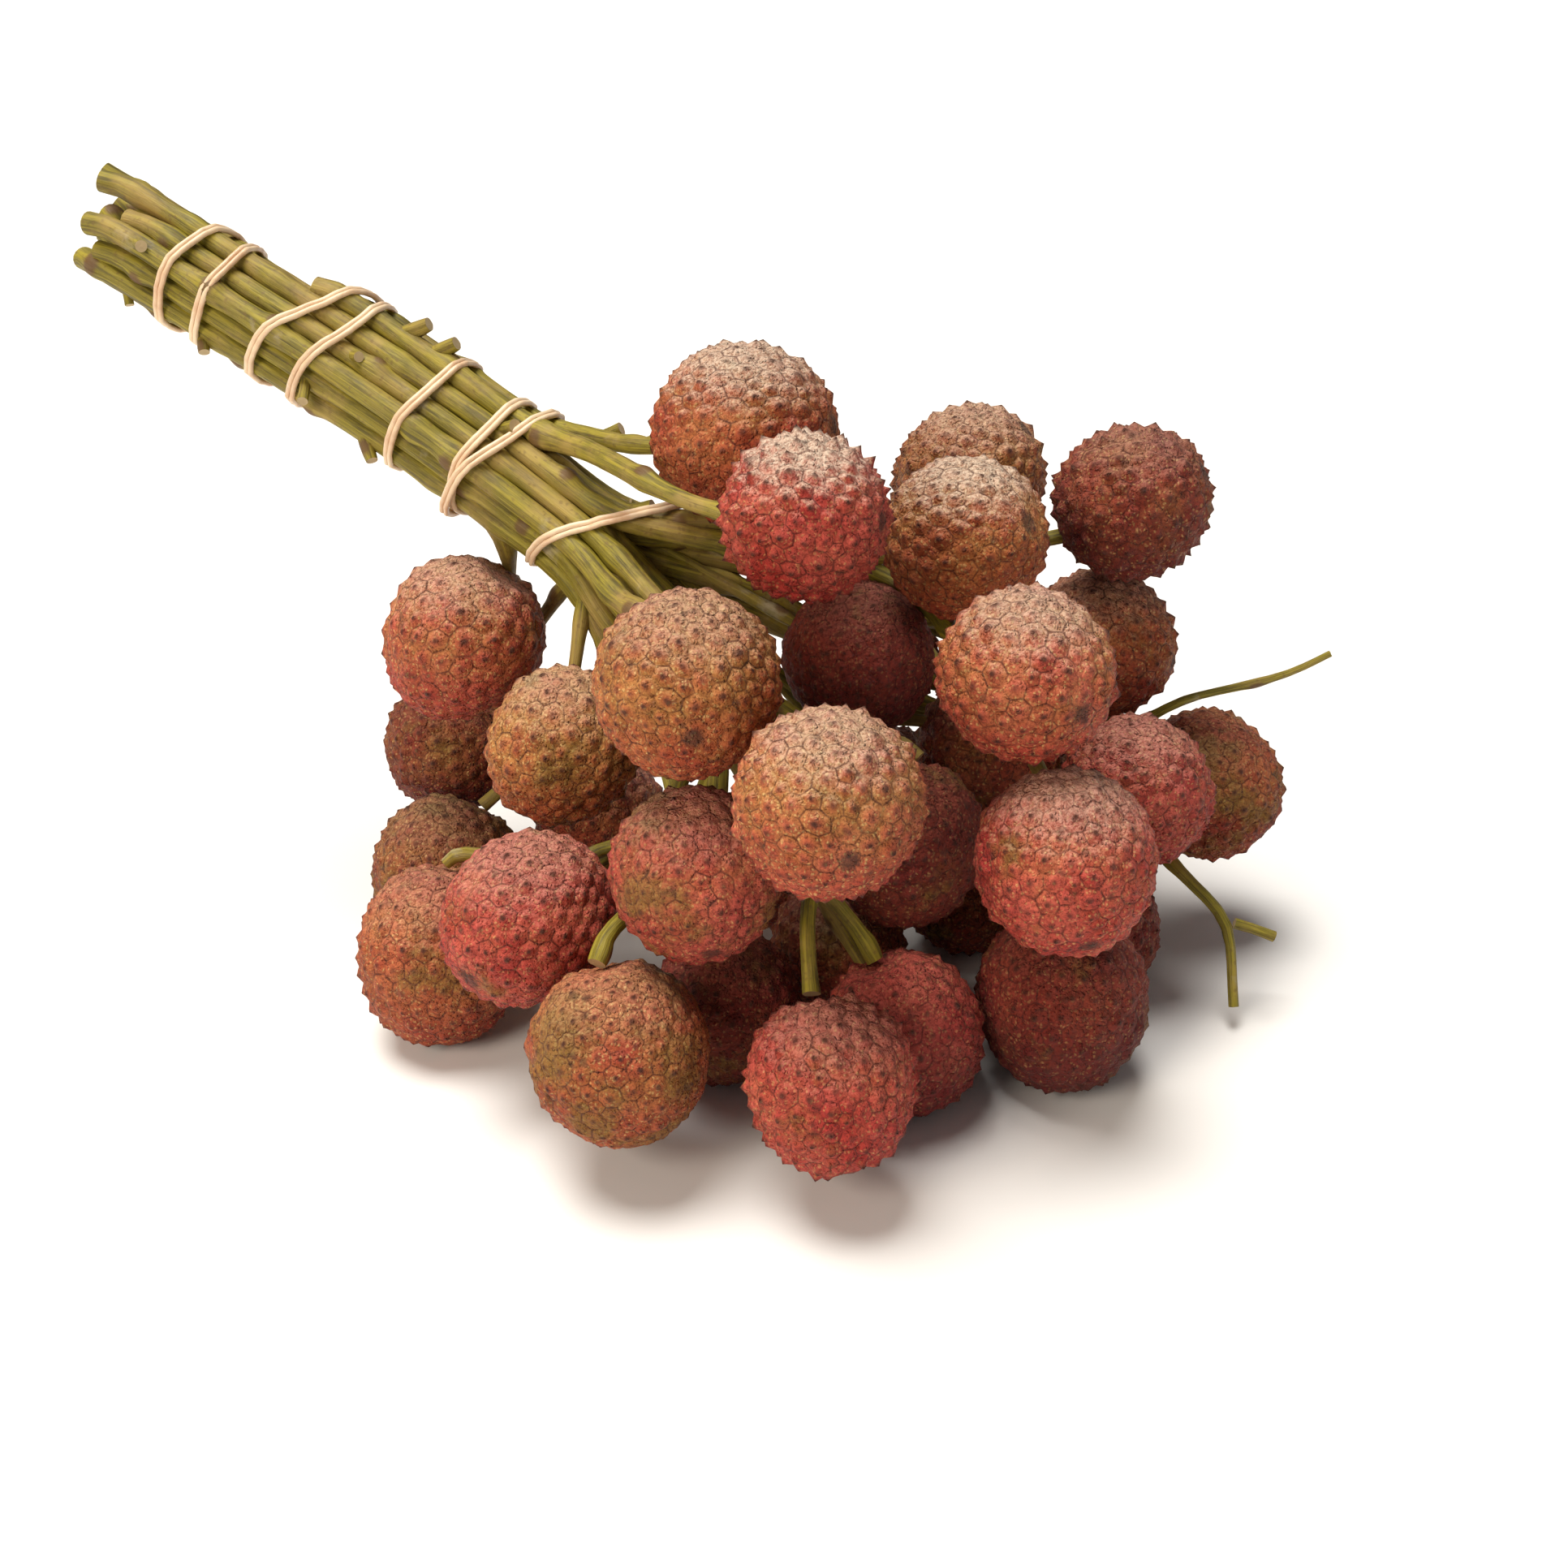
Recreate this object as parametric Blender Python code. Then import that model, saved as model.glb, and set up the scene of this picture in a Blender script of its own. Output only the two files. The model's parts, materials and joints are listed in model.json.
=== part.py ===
"""A market bunch of lychees on their stalks, tied with rubber bands and lying on a surface.

The cut stalks are gathered into a slanting sheaf. Below the lowest band they fan out,
and most of them fork, to reach fruit that is heaped on the ground. Every fruit, stalk
and band is a solid of its own, with a small clear gap to its neighbours.
Lengths in this file are in millimetres until a mesh is made, +Z is up.
"""

import itertools
import math

import bmesh
import bpy
import numpy as np

MM = 0.001
GAP = 0.3  # least clear gap between two pieces
ROOM = 0.6  # gap that the layout aims for
REST_FLAT = 0.6  # depth by which a resting fruit is flattened underneath
SKIN = 0.3  # the solid follows the middle of the bumpy skin, this far below its tips
FACET_SWELL = 1.012  # sets the facets half outside the true egg, half inside
FRUIT_SIDES = 12
FRUIT_RINGS = 8

STALK_SIDES = 6
R_CUT = 2.45  # stalk radius at the cut end
R_NECK = 2.1  # where the sheaf opens
R_FORK = 1.75  # deep inside the bunch
R_TIP = 1.35  # just before the fruit
R_BRANCH = 1.45

NECK = np.array((-17.0, 17.0, 98.0))  # middle of the sheaf at the lowest band
NECK_WAY = np.array((-0.76, 0.49, 0.42))  # the way the sheaf leaves the neck
CUT_WAY = np.array((-0.83, 0.45, 0.33))  # and the way it runs at the cut end
SHEAF = 138.0  # length of the sheaf above the neck
SHEAF_TWIST = math.radians(16)
LONGEST_END = 145.0
SHORT_ENDS = (80.0, 84.0, 88.0)

# Steps along a stalk in the sheaf and beyond it, its straight run at a fruit, and its drop to the fan.
SHEAF_STEP = 2.5
STEP = 2.0
STEM_RUN = 6.5
GATE_DROP = 9.0
SLOT_EASE = 1.02
SHRINK = R_NECK / R_CUT
BAND_WIDTH = 2.3
BAND_THICK = 1.1

# name, centre, mean diameter, length over width, wished way to the stem, rests on the ground
FRUITS = (
    ("lychee_01", (13, 13, 123), 38.0, 1.06, (-1.0, 0.2, -0.2), False),
    ("lychee_02", (25, -20, 119), 33.5, 1.03, (-0.9, 0.4, -0.1), False),
    ("lychee_03", (63, 58, 95), 35.0, 1.05, (-0.7, 0.0, -0.7), False),
    ("lychee_04", (58, 7, 103), 34.5, 1.05, (-0.7, 0.5, -0.5), False),
    ("lychee_05", (95, 28, 102), 34.5, 1.06, (-0.8, 0.2, -0.5), False),
    ("lychee_06", (91, 31, 67), 34.0, 1.06, (-0.8, 0.3, 0.1), False),
    ("lychee_07", (67, -35, 93), 35.0, 1.06, (-0.4, 0.9, 0.2), False),
    ("lychee_08", (37, 12, 73), 33.0, 1.03, (-0.3, 0.5, 0.8), False),
    ("lychee_09", (3, -43, 95), 36.0, 1.03, (-0.1, 1.0, 0.1), False),
    ("lychee_10", (-25, -5, 61), 33.5, 1.10, (0.5, 0.5, 0.7), False),
    ("lychee_11", (-48, 17, 75), 35.5, 1.10, (0.6, 0.2, 0.8), False),
    ("lychee_12", (-57, 47, 33), 33.5, 1.05, (0.5, -0.3, 0.8), False),
    ("lychee_13", (-56, 17, 17), 34.0, 1.05, (0.5, 0.5, 0.7), True),
    ("lychee_14", (-52, -20, 18), 37.5, 1.12, (0.1, 0.5, 0.9), True),
    ("lychee_15", (-30, -39, 40), 36.0, 1.12, (0.3, 0.8, 0.5), False),
    ("lychee_16", (4, -52, 59), 34.0, 1.06, (-0.2, 0.8, 0.5), False),
    ("lychee_17", (29, -66, 83), 36.0, 1.03, (-0.2, 1.0, 0.1), False),
    ("lychee_18", (46, -21, 47), 34.5, 1.10, (-0.1, 0.7, 0.7), False),
    ("lychee_19", (75, -49, 60), 36.5, 1.05, (-0.2, 0.8, 0.6), False),
    ("lychee_20", (96, -3, 49), 33.0, 1.05, (-0.7, 0.5, 0.5), False),
    ("lychee_21", (116, 22, 36), 34.5, 1.05, (-0.7, 0.4, 0.5), False),
    ("lychee_22", (78, -36, 18), 37.5, 1.10, (0.0, 0.6, 0.8), True),
    ("lychee_23", (89, -4, 15), 30.5, 1.05, (-0.3, 0.5, 0.8), True),
    ("lychee_24", (46, -45, 18), 33.5, 1.08, (-0.1, 0.6, 0.8), True),
    ("lychee_25", (30, -74, 26), 34.5, 1.08, (-0.2, 0.6, 0.8), False),
    ("lychee_26", (-11, -65, 27), 36.0, 1.05, (0.0, 0.4, 0.9), False),
    ("lychee_27", (9, -35, 16), 32.0, 1.05, (-0.1, 0.3, 0.9), True),
    ("lychee_28", (-23, 42, 16), 32.0, 1.05, (0.2, -0.2, 0.9), True),
    ("lychee_29", (33, -11, 15), 30.0, 1.05, (-0.2, 0.3, 0.9), True),
    ("lychee_30", (24, 21, 17), 33.0, 1.05, (-0.2, 0.0, 1.0), True),
    ("lychee_31", (88, 42, 17), 33.0, 1.05, (-0.3, 0.0, 0.9), True),
    ("lychee_32", (45, 54, 17), 33.0, 1.05, (-0.4, -0.2, 0.9), True),
    ("lychee_33", (41, 58, 51), 34.0, 1.05, (-0.6, -0.5, 0.6), False),
    ("lychee_34", (77, 60, 48), 33.0, 1.05, (-0.6, -0.5, 0.6), False),
    ("lychee_35", (66, 14, 50), 33.0, 1.05, (-0.6, 0.4, 0.7), False),
    ("lychee_36", (62, 13, 16), 30.5, 1.05, (-0.5, 0.3, 0.8), True),
)
# 0 rosy, 1 tawny, 2 deep red, in the order of the fruits
SKIN_TONES = (1, 0, 1, 1, 2, 1, 0, 2, 1, 1, 0, 2, 2, 1, 0, 0, 0, 2, 0, 0, 1, 2, 2, 0, 0, 1) + (2,) * 10
# the fruits that each stalk bears, the one at its end first
STALKS = (
    (1,), (2,), (9,), (4, 8), (10,), (31, 36, 30), (17, 16), (5, 3), (7, 19), (6, 35),
    (21, 20), (22, 23), (11, 12), (28, 13), (15, 14), (26, 27), (24, 25), (18, 29),
    (34, 33, 32),
)
# bare twigs whose fruit is gone: a fruit of the stalk that bears it, its way out, its fork if any
TWIGS = (
    (6, ((106, 16, 61), (119, 19, 62), (132, 20, 65), (140, 22, 69)), (), 0.85, 0.65),
    (21, ((105, -5, 31), (117, -10, 22), (127, -12, 18)), ((117, -10, 22), (118, -20, 5)), 1.4, 1.0),
)
LOW_EDGE = 2.35  # angle round the sheaf of its lower edge, at the side of the full face
BACK = 0.4  # and of its hidden back
# name, middle along the sheaf, distance between its turns, turns, tilt, angle of their crossing
BANDS = (
    ("band_top", 107.0, 11.0, 2, 1.0, BACK),
    ("band_upper", 77.0, 12.0, 2, 5.0, BACK - 0.4),
    ("band_middle", 47.5, 0.0, 1, 1.5, 0.0),
    ("band_lower", 29.5, 6.5, 2, 2.0, LOW_EDGE + 0.3),
    ("band_neck", 0.5, 0.0, 1, 9.0, 0.0),
)
FACE_WAY = np.array((0.0, -0.87, 0.5))  # the way the full face of the heap looks
OPEN_PRICE = 6.0  # how much dearer it is for a stalk to run in front of the fruit
# stalks, by their end fruit, that part from the sheaf above the neck and miss the lowest band
EARLY = {1: 24.0, 2: 21.0, 11: 26.0}


def unit(v):
    v = np.asarray(v, float)
    return v / np.linalg.norm(v)


def sides_of(way):
    """Two directions square to this one and to each other."""
    way = unit(way)
    start = np.array((0.0, 0.0, 1.0)) if abs(way[2]) < 0.9 else np.array((1.0, 0.0, 0.0))
    first = unit(start - way * (start @ way))
    return first, np.cross(way, first)


class Fruit:
    """An egg-shaped fruit, long along its stem."""

    def __init__(self, name, centre, diameter, slender, stem, rests):
        self.name = name
        self.centre = np.array(centre, float)
        self.rests = rests
        self.long = diameter / 2 * math.sqrt(slender) - SKIN
        self.wide = diameter / 2 / math.sqrt(slender) - SKIN
        self.stem = unit(stem)

    def reach(self, ways):
        """Distance from the centre to the skin along each unit direction."""
        along = np.clip(np.asarray(ways) @ self.stem, -1, 1)
        return 1 / np.sqrt((along / self.long) ** 2 + (1 - along**2) / self.wide**2)

    def ground_reach(self):
        """Height of the centre over the lowest point of the skin."""
        up = self.stem[2]
        return math.sqrt((self.long * up) ** 2 + self.wide**2 * (1 - up**2))

    def tip(self):
        return self.centre + self.stem * (self.long + 0.1)


def settle(fruits):
    """Moves the fruits apart until each pair is clear, with the resting ones on the ground."""
    for _ in range(400):
        worst = 0.0
        for fruit in fruits:
            low = fruit.ground_reach()
            if fruit.rests:
                fruit.centre[2] = low - REST_FLAT
            else:
                fruit.centre[2] = max(fruit.centre[2], low + 1.0)
        for a, b in itertools.combinations(fruits, 2):
            apart = b.centre - a.centre
            far = np.linalg.norm(apart)
            if far > 42:
                continue
            way = apart / far
            lack = float(a.reach(way) + b.reach(-way)) + ROOM - far
            if lack > 0:
                a.centre -= way * lack * 0.5
                b.centre += way * lack * 0.5
                worst = max(worst, lack)
        if worst < 0.01:
            break


def free_stems(fruits):
    """Turns each stem towards the free direction nearest to the wished one."""
    turns = np.arange(400)
    height = 1 - (2 * turns + 1) / 400
    angle = turns * math.pi * (3 - math.sqrt(5))
    flat = np.sqrt(1 - height**2)
    ways = np.stack([flat * np.cos(angle), flat * np.sin(angle), height], axis=1)
    for fruit in fruits:
        wished = fruit.stem
        best, found = -9.0, wished
        for way in np.concatenate([[wished], ways]):
            if way @ wished < 0.3:
                continue
            room = 9.0
            for other in fruits:
                if other is fruit:
                    continue
                for step in (3.0, 7.0, 11.0):
                    off = fruit.centre + way * (fruit.long + step) - other.centre
                    far = np.linalg.norm(off)
                    room = min(room, far - float(other.reach(off / far)))
            score = way @ wished + 0.35 * min(room - 3.0, 0.0)
            if score > best:
                best, found = score, way
        fruit.stem = unit(found)


def sheaf_axis():
    """Points along the middle of the sheaf, one each millimetre, from below the neck to the cut."""
    start, end = NECK, NECK + SHEAF * unit(0.35 * unit(NECK_WAY) + 0.65 * unit(CUT_WAY))
    near = start + unit(NECK_WAY) * 42
    far = end - unit(CUT_WAY) * 48
    t = np.linspace(0, 1, 400)[:, None]
    curve = (1 - t) ** 3 * start + 3 * (1 - t) ** 2 * t * near
    curve = curve + 3 * (1 - t) * t**2 * far + t**3 * end
    steps = np.linalg.norm(np.diff(curve, axis=0), axis=1)
    length = np.concatenate([[0], np.cumsum(steps)])
    marks = np.arange(0, 150.0)
    points = np.stack([np.interp(marks, length, curve[:, k]) for k in range(3)], axis=1)
    beyond = marks > length[-1]
    points[beyond] = curve[-1] + (marks[beyond] - length[-1])[:, None] * unit(CUT_WAY)
    before = NECK - np.arange(24, 0, -1)[:, None] * unit(NECK_WAY)
    return np.concatenate([before, points]), -24.0


AXIS, AXIS_START = sheaf_axis()
AXIS_WAY = np.gradient(AXIS, axis=0)
AXIS_WAY /= np.linalg.norm(AXIS_WAY, axis=1)[:, None]
AXIS_FIRST = np.zeros_like(AXIS)
AXIS_FIRST[0] = unit(np.cross(AXIS_WAY[0], np.array((0.0, 0.0, 1.0))))
for k in range(1, len(AXIS)):
    AXIS_FIRST[k] = unit(AXIS_FIRST[k - 1] - AXIS_WAY[k] * (AXIS_FIRST[k - 1] @ AXIS_WAY[k]))
AXIS_SECOND = np.cross(AXIS_WAY, AXIS_FIRST)


def on_axis(table, place):
    places = AXIS_START + np.arange(len(AXIS))
    return np.array([np.interp(place, places, table[:, k]) for k in range(3)])


def in_sheaf(place, across):
    """The point at this place along the sheaf and at this offset across it."""
    turn = SHEAF_TWIST * place / SHEAF
    x = across[0] * math.cos(turn) - across[1] * math.sin(turn)
    y = across[0] * math.sin(turn) + across[1] * math.cos(turn)
    first, second = on_axis(AXIS_FIRST, place), on_axis(AXIS_SECOND, place)
    return on_axis(AXIS, place) + first * x + second * y


def pack_slots(radii):
    """Packs the stalks' round sections into a tight, slightly uneven bundle."""
    rng = np.random.default_rng(11)
    spots = rng.uniform(-9, 9, (len(radii), 2))
    need = radii[:, None] + radii[None] + GAP + 0.12
    for step in range(3000):
        apart = spots[:, None] - spots[None]
        far = np.linalg.norm(apart, axis=2) + np.eye(len(radii)) * 99
        lack = np.maximum(need - far, 0)
        push = (apart / far[..., None] * lack[..., None]).sum(axis=1) * 0.4
        pull = -0.012 * spots if step < 2400 else 0
        spots = spots + push + pull
        spots -= spots.mean(axis=0)
    return spots


def choose_slots(spots, goals):
    """Gives each stalk the slot on the side where its fruit lies, by swapping while that helps."""
    first, second = on_axis(AXIS_FIRST, 0.0), on_axis(AXIS_SECOND, 0.0)
    way = on_axis(AXIS_WAY, 0.0)
    wanted = []
    for row, goal in zip(STALKS, goals):
        off = goal - NECK
        depth = max(-(off @ way), 10.0)
        wanted.append(np.array((off @ first, off @ second)) / (depth + 25.0) * 22.0)
        if row[0] in EARLY:
            wanted[-1] = unit(wanted[-1]) * 40.0
    wanted = np.array(wanted)
    order = list(range(len(goals)))
    for _ in range(40):
        changed = False
        for i, j in itertools.combinations(range(len(goals)), 2):
            a, b = spots[order[i]], spots[order[j]]
            now = ((a - wanted[i]) ** 2).sum() + ((b - wanted[j]) ** 2).sum()
            then = ((b - wanted[i]) ** 2).sum() + ((a - wanted[j]) ** 2).sum()
            if then < now - 1e-9:
                order[i], order[j] = order[j], order[i]
                changed = True
        if not changed:
            break
    return order


class Space:
    """A grid of the room among the fruits, through which stalks find their way."""

    STEP = 4.0

    def __init__(self, fruits):
        self.low = np.array((-84.0, -84.0, 6.0))
        self.count = np.array((54, 42, 35))
        axes = [self.low[k] + self.STEP * np.arange(self.count[k]) for k in range(3)]
        self.points = np.stack(np.meshgrid(*axes, indexing="ij"), axis=-1)
        room = np.full(self.points.shape[:3], 30.0)
        hidden = np.linalg.norm(self.points - NECK, axis=-1) < 30
        for fruit in fruits:
            off = self.points - fruit.centre
            far = np.linalg.norm(off, axis=-1) + 1e-6
            room = np.minimum(room, far - fruit.reach(off / far[..., None]))
            ahead = -off @ FACE_WAY
            aside = np.linalg.norm(off + ahead[..., None] * FACE_WAY, axis=-1)
            hidden |= (ahead > 0) & (aside < 0.9 * fruit.wide)
        self.price = np.where(room > 3.2, 1.0, 1.0 + (3.2 - room) * 1.2)
        self.price += np.where(hidden, 0.0, OPEN_PRICE)
        self.price = np.where(room < 1.0, 60.0 + 30.0 * (1.0 - room), self.price)

    def cell(self, point):
        index = np.rint((point - self.low) / self.STEP).astype(int)
        return tuple(np.clip(index, 0, self.count - 1))

    def costs(self, starts):
        """Cost of the cheapest way to every cell, from cells that cost what starts says."""
        total = np.full(self.price.shape, 1e9)
        for cell, cost in starts.items():
            total[cell] = min(total[cell], cost)
        ways = [w for w in itertools.product((-1, 0, 1), repeat=3) if any(w)]
        for _ in range(90):
            before = total.copy()
            for way in ways:
                there = tuple(slice(max(w, 0), n + min(w, 0)) for w, n in zip(way, self.count))
                here = tuple(slice(max(-w, 0), n + min(-w, 0)) for w, n in zip(way, self.count))
                step = self.STEP * math.sqrt(sum(w * w for w in way)) / 2
                cost = total[here] + step * (self.price[here] + self.price[there])
                np.minimum(total[there], cost, out=total[there])
            if np.abs(before - total).max() < 1e-6:
                break
        return total

    def descend(self, total, goal, starts):
        cell = self.cell(goal)
        cells = [cell]
        while cell not in starts and len(cells) < 200:
            best, found = 1e18, cell
            for way in itertools.product((-1, 0, 1), repeat=3):
                other = tuple(c + w for c, w in zip(cell, way))
                if not any(way) or min(other) < 0 or any(o >= n for o, n in zip(other, self.count)):
                    continue
                step = self.STEP * math.sqrt(sum(w * w for w in way)) / 2
                cost = total[other] + step * (self.price[cell] + self.price[other])
                if cost < best:
                    best, found = cost, other
            cell = found
            cells.append(cell)
        return [self.points[c] for c in cells[::-1]], cell

    def crowd(self, path):
        """Makes the room near a finished path dearer, so that the next stalk keeps off it."""
        for point in path:
            off = self.points - point
            near = (off**2).sum(axis=-1) < 4.6**2
            self.price = np.where(near, self.price + 1.6, self.price)


def resample(points, step):
    points = np.asarray(points, float)
    steps = np.linalg.norm(np.diff(points, axis=0), axis=1)
    length = np.concatenate([[0], np.cumsum(steps)])
    count = max(int(round(length[-1] / step)), 2)
    marks = np.linspace(0, length[-1], count + 1)
    return np.stack([np.interp(marks, length, points[:, k]) for k in range(3)], axis=1)


class Strand:
    """One stalk or branch: the points along its middle and its radius at each."""

    def __init__(self, points, radius, owner, held_start, held_end):
        self.points = points
        self.radius = radius
        self.owner = owner
        self.held_start = held_start
        self.held_end = held_end
        self.fork = None  # the strand it leaves and the point where it does


def loosen(strands, fruits, rounds=260):
    """Bends the strands until they clear every fruit, the ground and one another."""
    owner = np.concatenate([np.full(len(s.points), s.owner) for s in strands])
    index = np.concatenate([np.full(len(s.points), k) for k, s in enumerate(strands)])
    radius = np.concatenate([s.radius for s in strands])
    points = np.concatenate([s.points for s in strands])
    held = np.zeros(len(points), bool)
    start = 0
    for s in strands:
        held[start : start + s.held_start] = True
        held[start + len(s.points) - s.held_end : start + len(s.points)] = True
        start += len(s.points)
    first = np.cumsum([0] + [len(s.points) for s in strands])
    roots = []
    for k, s in enumerate(strands):
        if s.fork:
            roots.append((first[k], first[strands.index(s.fork[0])] + s.fork[1]))
    roots = np.array(roots)
    inner = (index[1:-1] == index[:-2]) & (index[1:-1] == index[2:])
    inner = np.concatenate([[False], inner, [False]])
    loose = ~held & inner
    fans = np.flatnonzero(loose)
    for step in range(rounds):
        smooth = 0.45 if step < rounds * 0.6 else 0.12
        push = np.zeros_like(points)
        middle = (points[fans - 1] + points[fans + 1]) / 2 - points[fans]
        push[fans] += smooth * middle
        for fruit in fruits:
            off = points - fruit.centre
            far = np.linalg.norm(off, axis=1) + 1e-9
            way = off / far[:, None]
            lack = fruit.reach(way) + radius + GAP + 0.35 - far
            push += way * np.maximum(lack, 0)[:, None] * 0.7
        low = radius + 1.5 - points[:, 2]
        push[:, 2] += np.maximum(low, 0)
        if step % 8 == 0:
            far = np.sqrt(((points[fans][:, None] - points[None]) ** 2).sum(axis=2))
            close = (far < 10.0) & (owner[fans][:, None] != owner[None])
            here, there = np.nonzero(close)
            here = fans[here]
            need = radius[here] + radius[there] + GAP + 0.4
        off = points[here] - points[there]
        far = np.sqrt((off**2).sum(axis=1)) + 1e-9
        lack = np.maximum(need - far, 0)
        count = np.maximum(np.bincount(here, lack > 0, len(points)), 1)
        for k in range(3):
            shove = np.bincount(here, off[:, k] / far * lack, len(points))
            push[:, k] += shove / count * 0.6
        points = np.where(loose[:, None], points + push, points)
        points[roots[:, 0]] = points[roots[:, 1]]
    start = 0
    for s in strands:
        s.points = points[start : start + len(s.points)]
        start += len(s.points)


def simplified(points, radius, most, tolerance):
    """Keeps the points that the shape needs, no further apart than most."""
    keep = [0]
    while keep[-1] < len(points) - 1:
        a = keep[-1]
        b = a + 1
        for c in range(a + 2, len(points)):
            chord = points[c] - points[a]
            size = np.linalg.norm(chord)
            off = points[a + 1 : c] - points[a]
            away = np.linalg.norm(np.cross(off, chord), axis=1) / max(size, 1e-6)
            if size > most or away.max() > tolerance:
                break
            b = c
        keep.append(b)
    return points[keep], radius[keep]


def bare(name, colour, roughness):
    material = bpy.data.materials.get(name) or bpy.data.materials.new(name)
    material.use_nodes = True
    shader = material.node_tree.nodes["Principled BSDF"]
    shader.inputs["Base Color"].default_value = (*colour, 1)
    shader.inputs["Roughness"].default_value = roughness
    shader.inputs["Metallic"].default_value = 0.0
    return material


def new_object(name, bm, material):
    bmesh.ops.recalc_face_normals(bm, faces=bm.faces)
    mesh = bpy.data.meshes.new(name)
    bm.to_mesh(mesh)
    bm.free()
    mesh.materials.append(material)
    mesh.shade_smooth()
    mesh.set_sharp_from_angle(angle=math.radians(50))
    obj = bpy.data.objects.new(name, mesh)
    bpy.context.scene.collection.objects.link(obj)
    return obj


def fruit_object(fruit, material):
    """A lathed egg with broad shoulders and a shallow stem dimple, cut flat where it rests."""
    first, second = sides_of(fruit.stem)
    bm = bmesh.new()
    rings = []
    for ring in range(1, FRUIT_RINGS):
        slant = math.pi * ring / FRUIT_RINGS
        along = fruit.long * math.cos(slant)
        out = fruit.wide * math.sin(slant)
        verts = []
        for side in range(FRUIT_SIDES):
            turn = 2 * math.pi * (side + 0.5 * (ring % 2)) / FRUIT_SIDES
            spot = first * math.cos(turn) * out + second * math.sin(turn) * out
            verts.append(bm.verts.new((spot + fruit.stem * along) * FACET_SWELL * MM))
        rings.append(verts)
    top = bm.verts.new(fruit.stem * (fruit.long - 0.6) * MM)
    bottom = bm.verts.new(-fruit.stem * fruit.long * MM)
    for side in range(FRUIT_SIDES):
        after = (side + 1) % FRUIT_SIDES
        bm.faces.new((top, rings[0][side], rings[0][after]))
        bm.faces.new((bottom, rings[-1][after], rings[-1][side]))
    for ring in range(len(rings) - 1):
        for side in range(FRUIT_SIDES):
            after = (side + 1) % FRUIT_SIDES
            a, b = rings[ring], rings[ring + 1]
            if ring % 2 == 0:
                bm.faces.new((a[side], b[side], a[after]))
                bm.faces.new((a[after], b[side], b[after]))
            else:
                bm.faces.new((a[side], b[side], b[after]))
                bm.faces.new((a[side], b[after], a[after]))
    if fruit.rests:
        ground = (0, 0, -fruit.centre[2] * MM)
        cut = bmesh.ops.bisect_plane(
            bm,
            geom=bm.verts[:] + bm.edges[:] + bm.faces[:],
            dist=1e-7,
            plane_co=ground,
            plane_no=(0, 0, -1),
            clear_outer=True,
        )
        edges = [e for e in cut["geom_cut"] if isinstance(e, bmesh.types.BMEdge)]
        bmesh.ops.edgeloop_fill(bm, edges=edges)
    obj = new_object(fruit.name, bm, material)
    obj.location = fruit.centre * MM
    return obj


def tube(name, points, radius, sides, material):
    """A closed tube of changing radius along the points, with a flat face at each end."""
    points, radius = np.asarray(points), np.asarray(radius)
    way = np.gradient(points, axis=0)
    way /= np.linalg.norm(way, axis=1)[:, None]
    first, _ = sides_of(way[0])
    bm = bmesh.new()
    rings = []
    for spot, size, along in zip(points, radius, way):
        first = unit(first - along * (first @ along))
        second = np.cross(along, first)
        ring = []
        for side in range(sides):
            turn = 2 * math.pi * side / sides
            out = first * math.cos(turn) + second * math.sin(turn)
            ring.append(bm.verts.new((spot + out * size) * MM))
        rings.append(ring)
    for a, b in zip(rings, rings[1:]):
        for side in range(sides):
            after = (side + 1) % sides
            bm.faces.new((a[side], a[after], b[after], b[side]))
    bm.faces.new(rings[0][::-1])
    bm.faces.new(rings[-1])
    return new_object(name, bm, material)


def join_branch(stalk, branch):
    """Unites a branch with its stalk and drops the branch's own object."""
    union = stalk.modifiers.new("branch", "BOOLEAN")
    union.operation = "UNION"
    union.solver = "EXACT"
    union.object = branch
    graph = bpy.context.evaluated_depsgraph_get()
    mesh = bpy.data.meshes.new_from_object(stalk.evaluated_get(graph))
    stalk.modifiers.remove(union)
    old = stalk.data
    stalk.data = mesh
    mesh.name = stalk.name
    bpy.data.meshes.remove(old)
    other = branch.data
    bpy.data.objects.remove(branch)
    bpy.data.meshes.remove(other)


def sections(place, strands):
    """Round sections of the strands where planes across the sheaf cut them, near this place."""
    found = []
    for shift in (-BAND_WIDTH / 2 - 0.3, 0.0, BAND_WIDTH / 2 + 0.3):
        middle = on_axis(AXIS, place + shift)
        way = on_axis(AXIS_WAY, place + shift)
        first = on_axis(AXIS_FIRST, place)
        second = on_axis(AXIS_SECOND, place)
        for strand in strands:
            height = (strand.points - middle) @ way
            for k in np.flatnonzero(height[:-1] * height[1:] <= 0):
                t = height[k] / (height[k] - height[k + 1] + 1e-12)
                spot = strand.points[k] * (1 - t) + strand.points[k + 1] * t
                off = spot - middle
                if np.linalg.norm(off) > 34:
                    continue
                along = unit(strand.points[k + 1] - strand.points[k])
                lean = max(abs(along @ way), 0.5)
                size = strand.radius[k] / lean
                found.append((off @ first, off @ second, size))
    return np.array(found)


def girth(circles, angle, clear):
    """How far out the taut outline round these circles lies, at this angle."""
    turns = np.linspace(0, 2 * math.pi, 73)[:-1]
    ways = np.stack([np.cos(turns), np.sin(turns)], axis=1)
    widest = (ways @ circles[:, :2].T + circles[:, 2]).max(axis=1) + clear
    facing = np.cos(turns - angle)
    near = facing > 0.2
    return (widest[near] / facing[near]).min()


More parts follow.
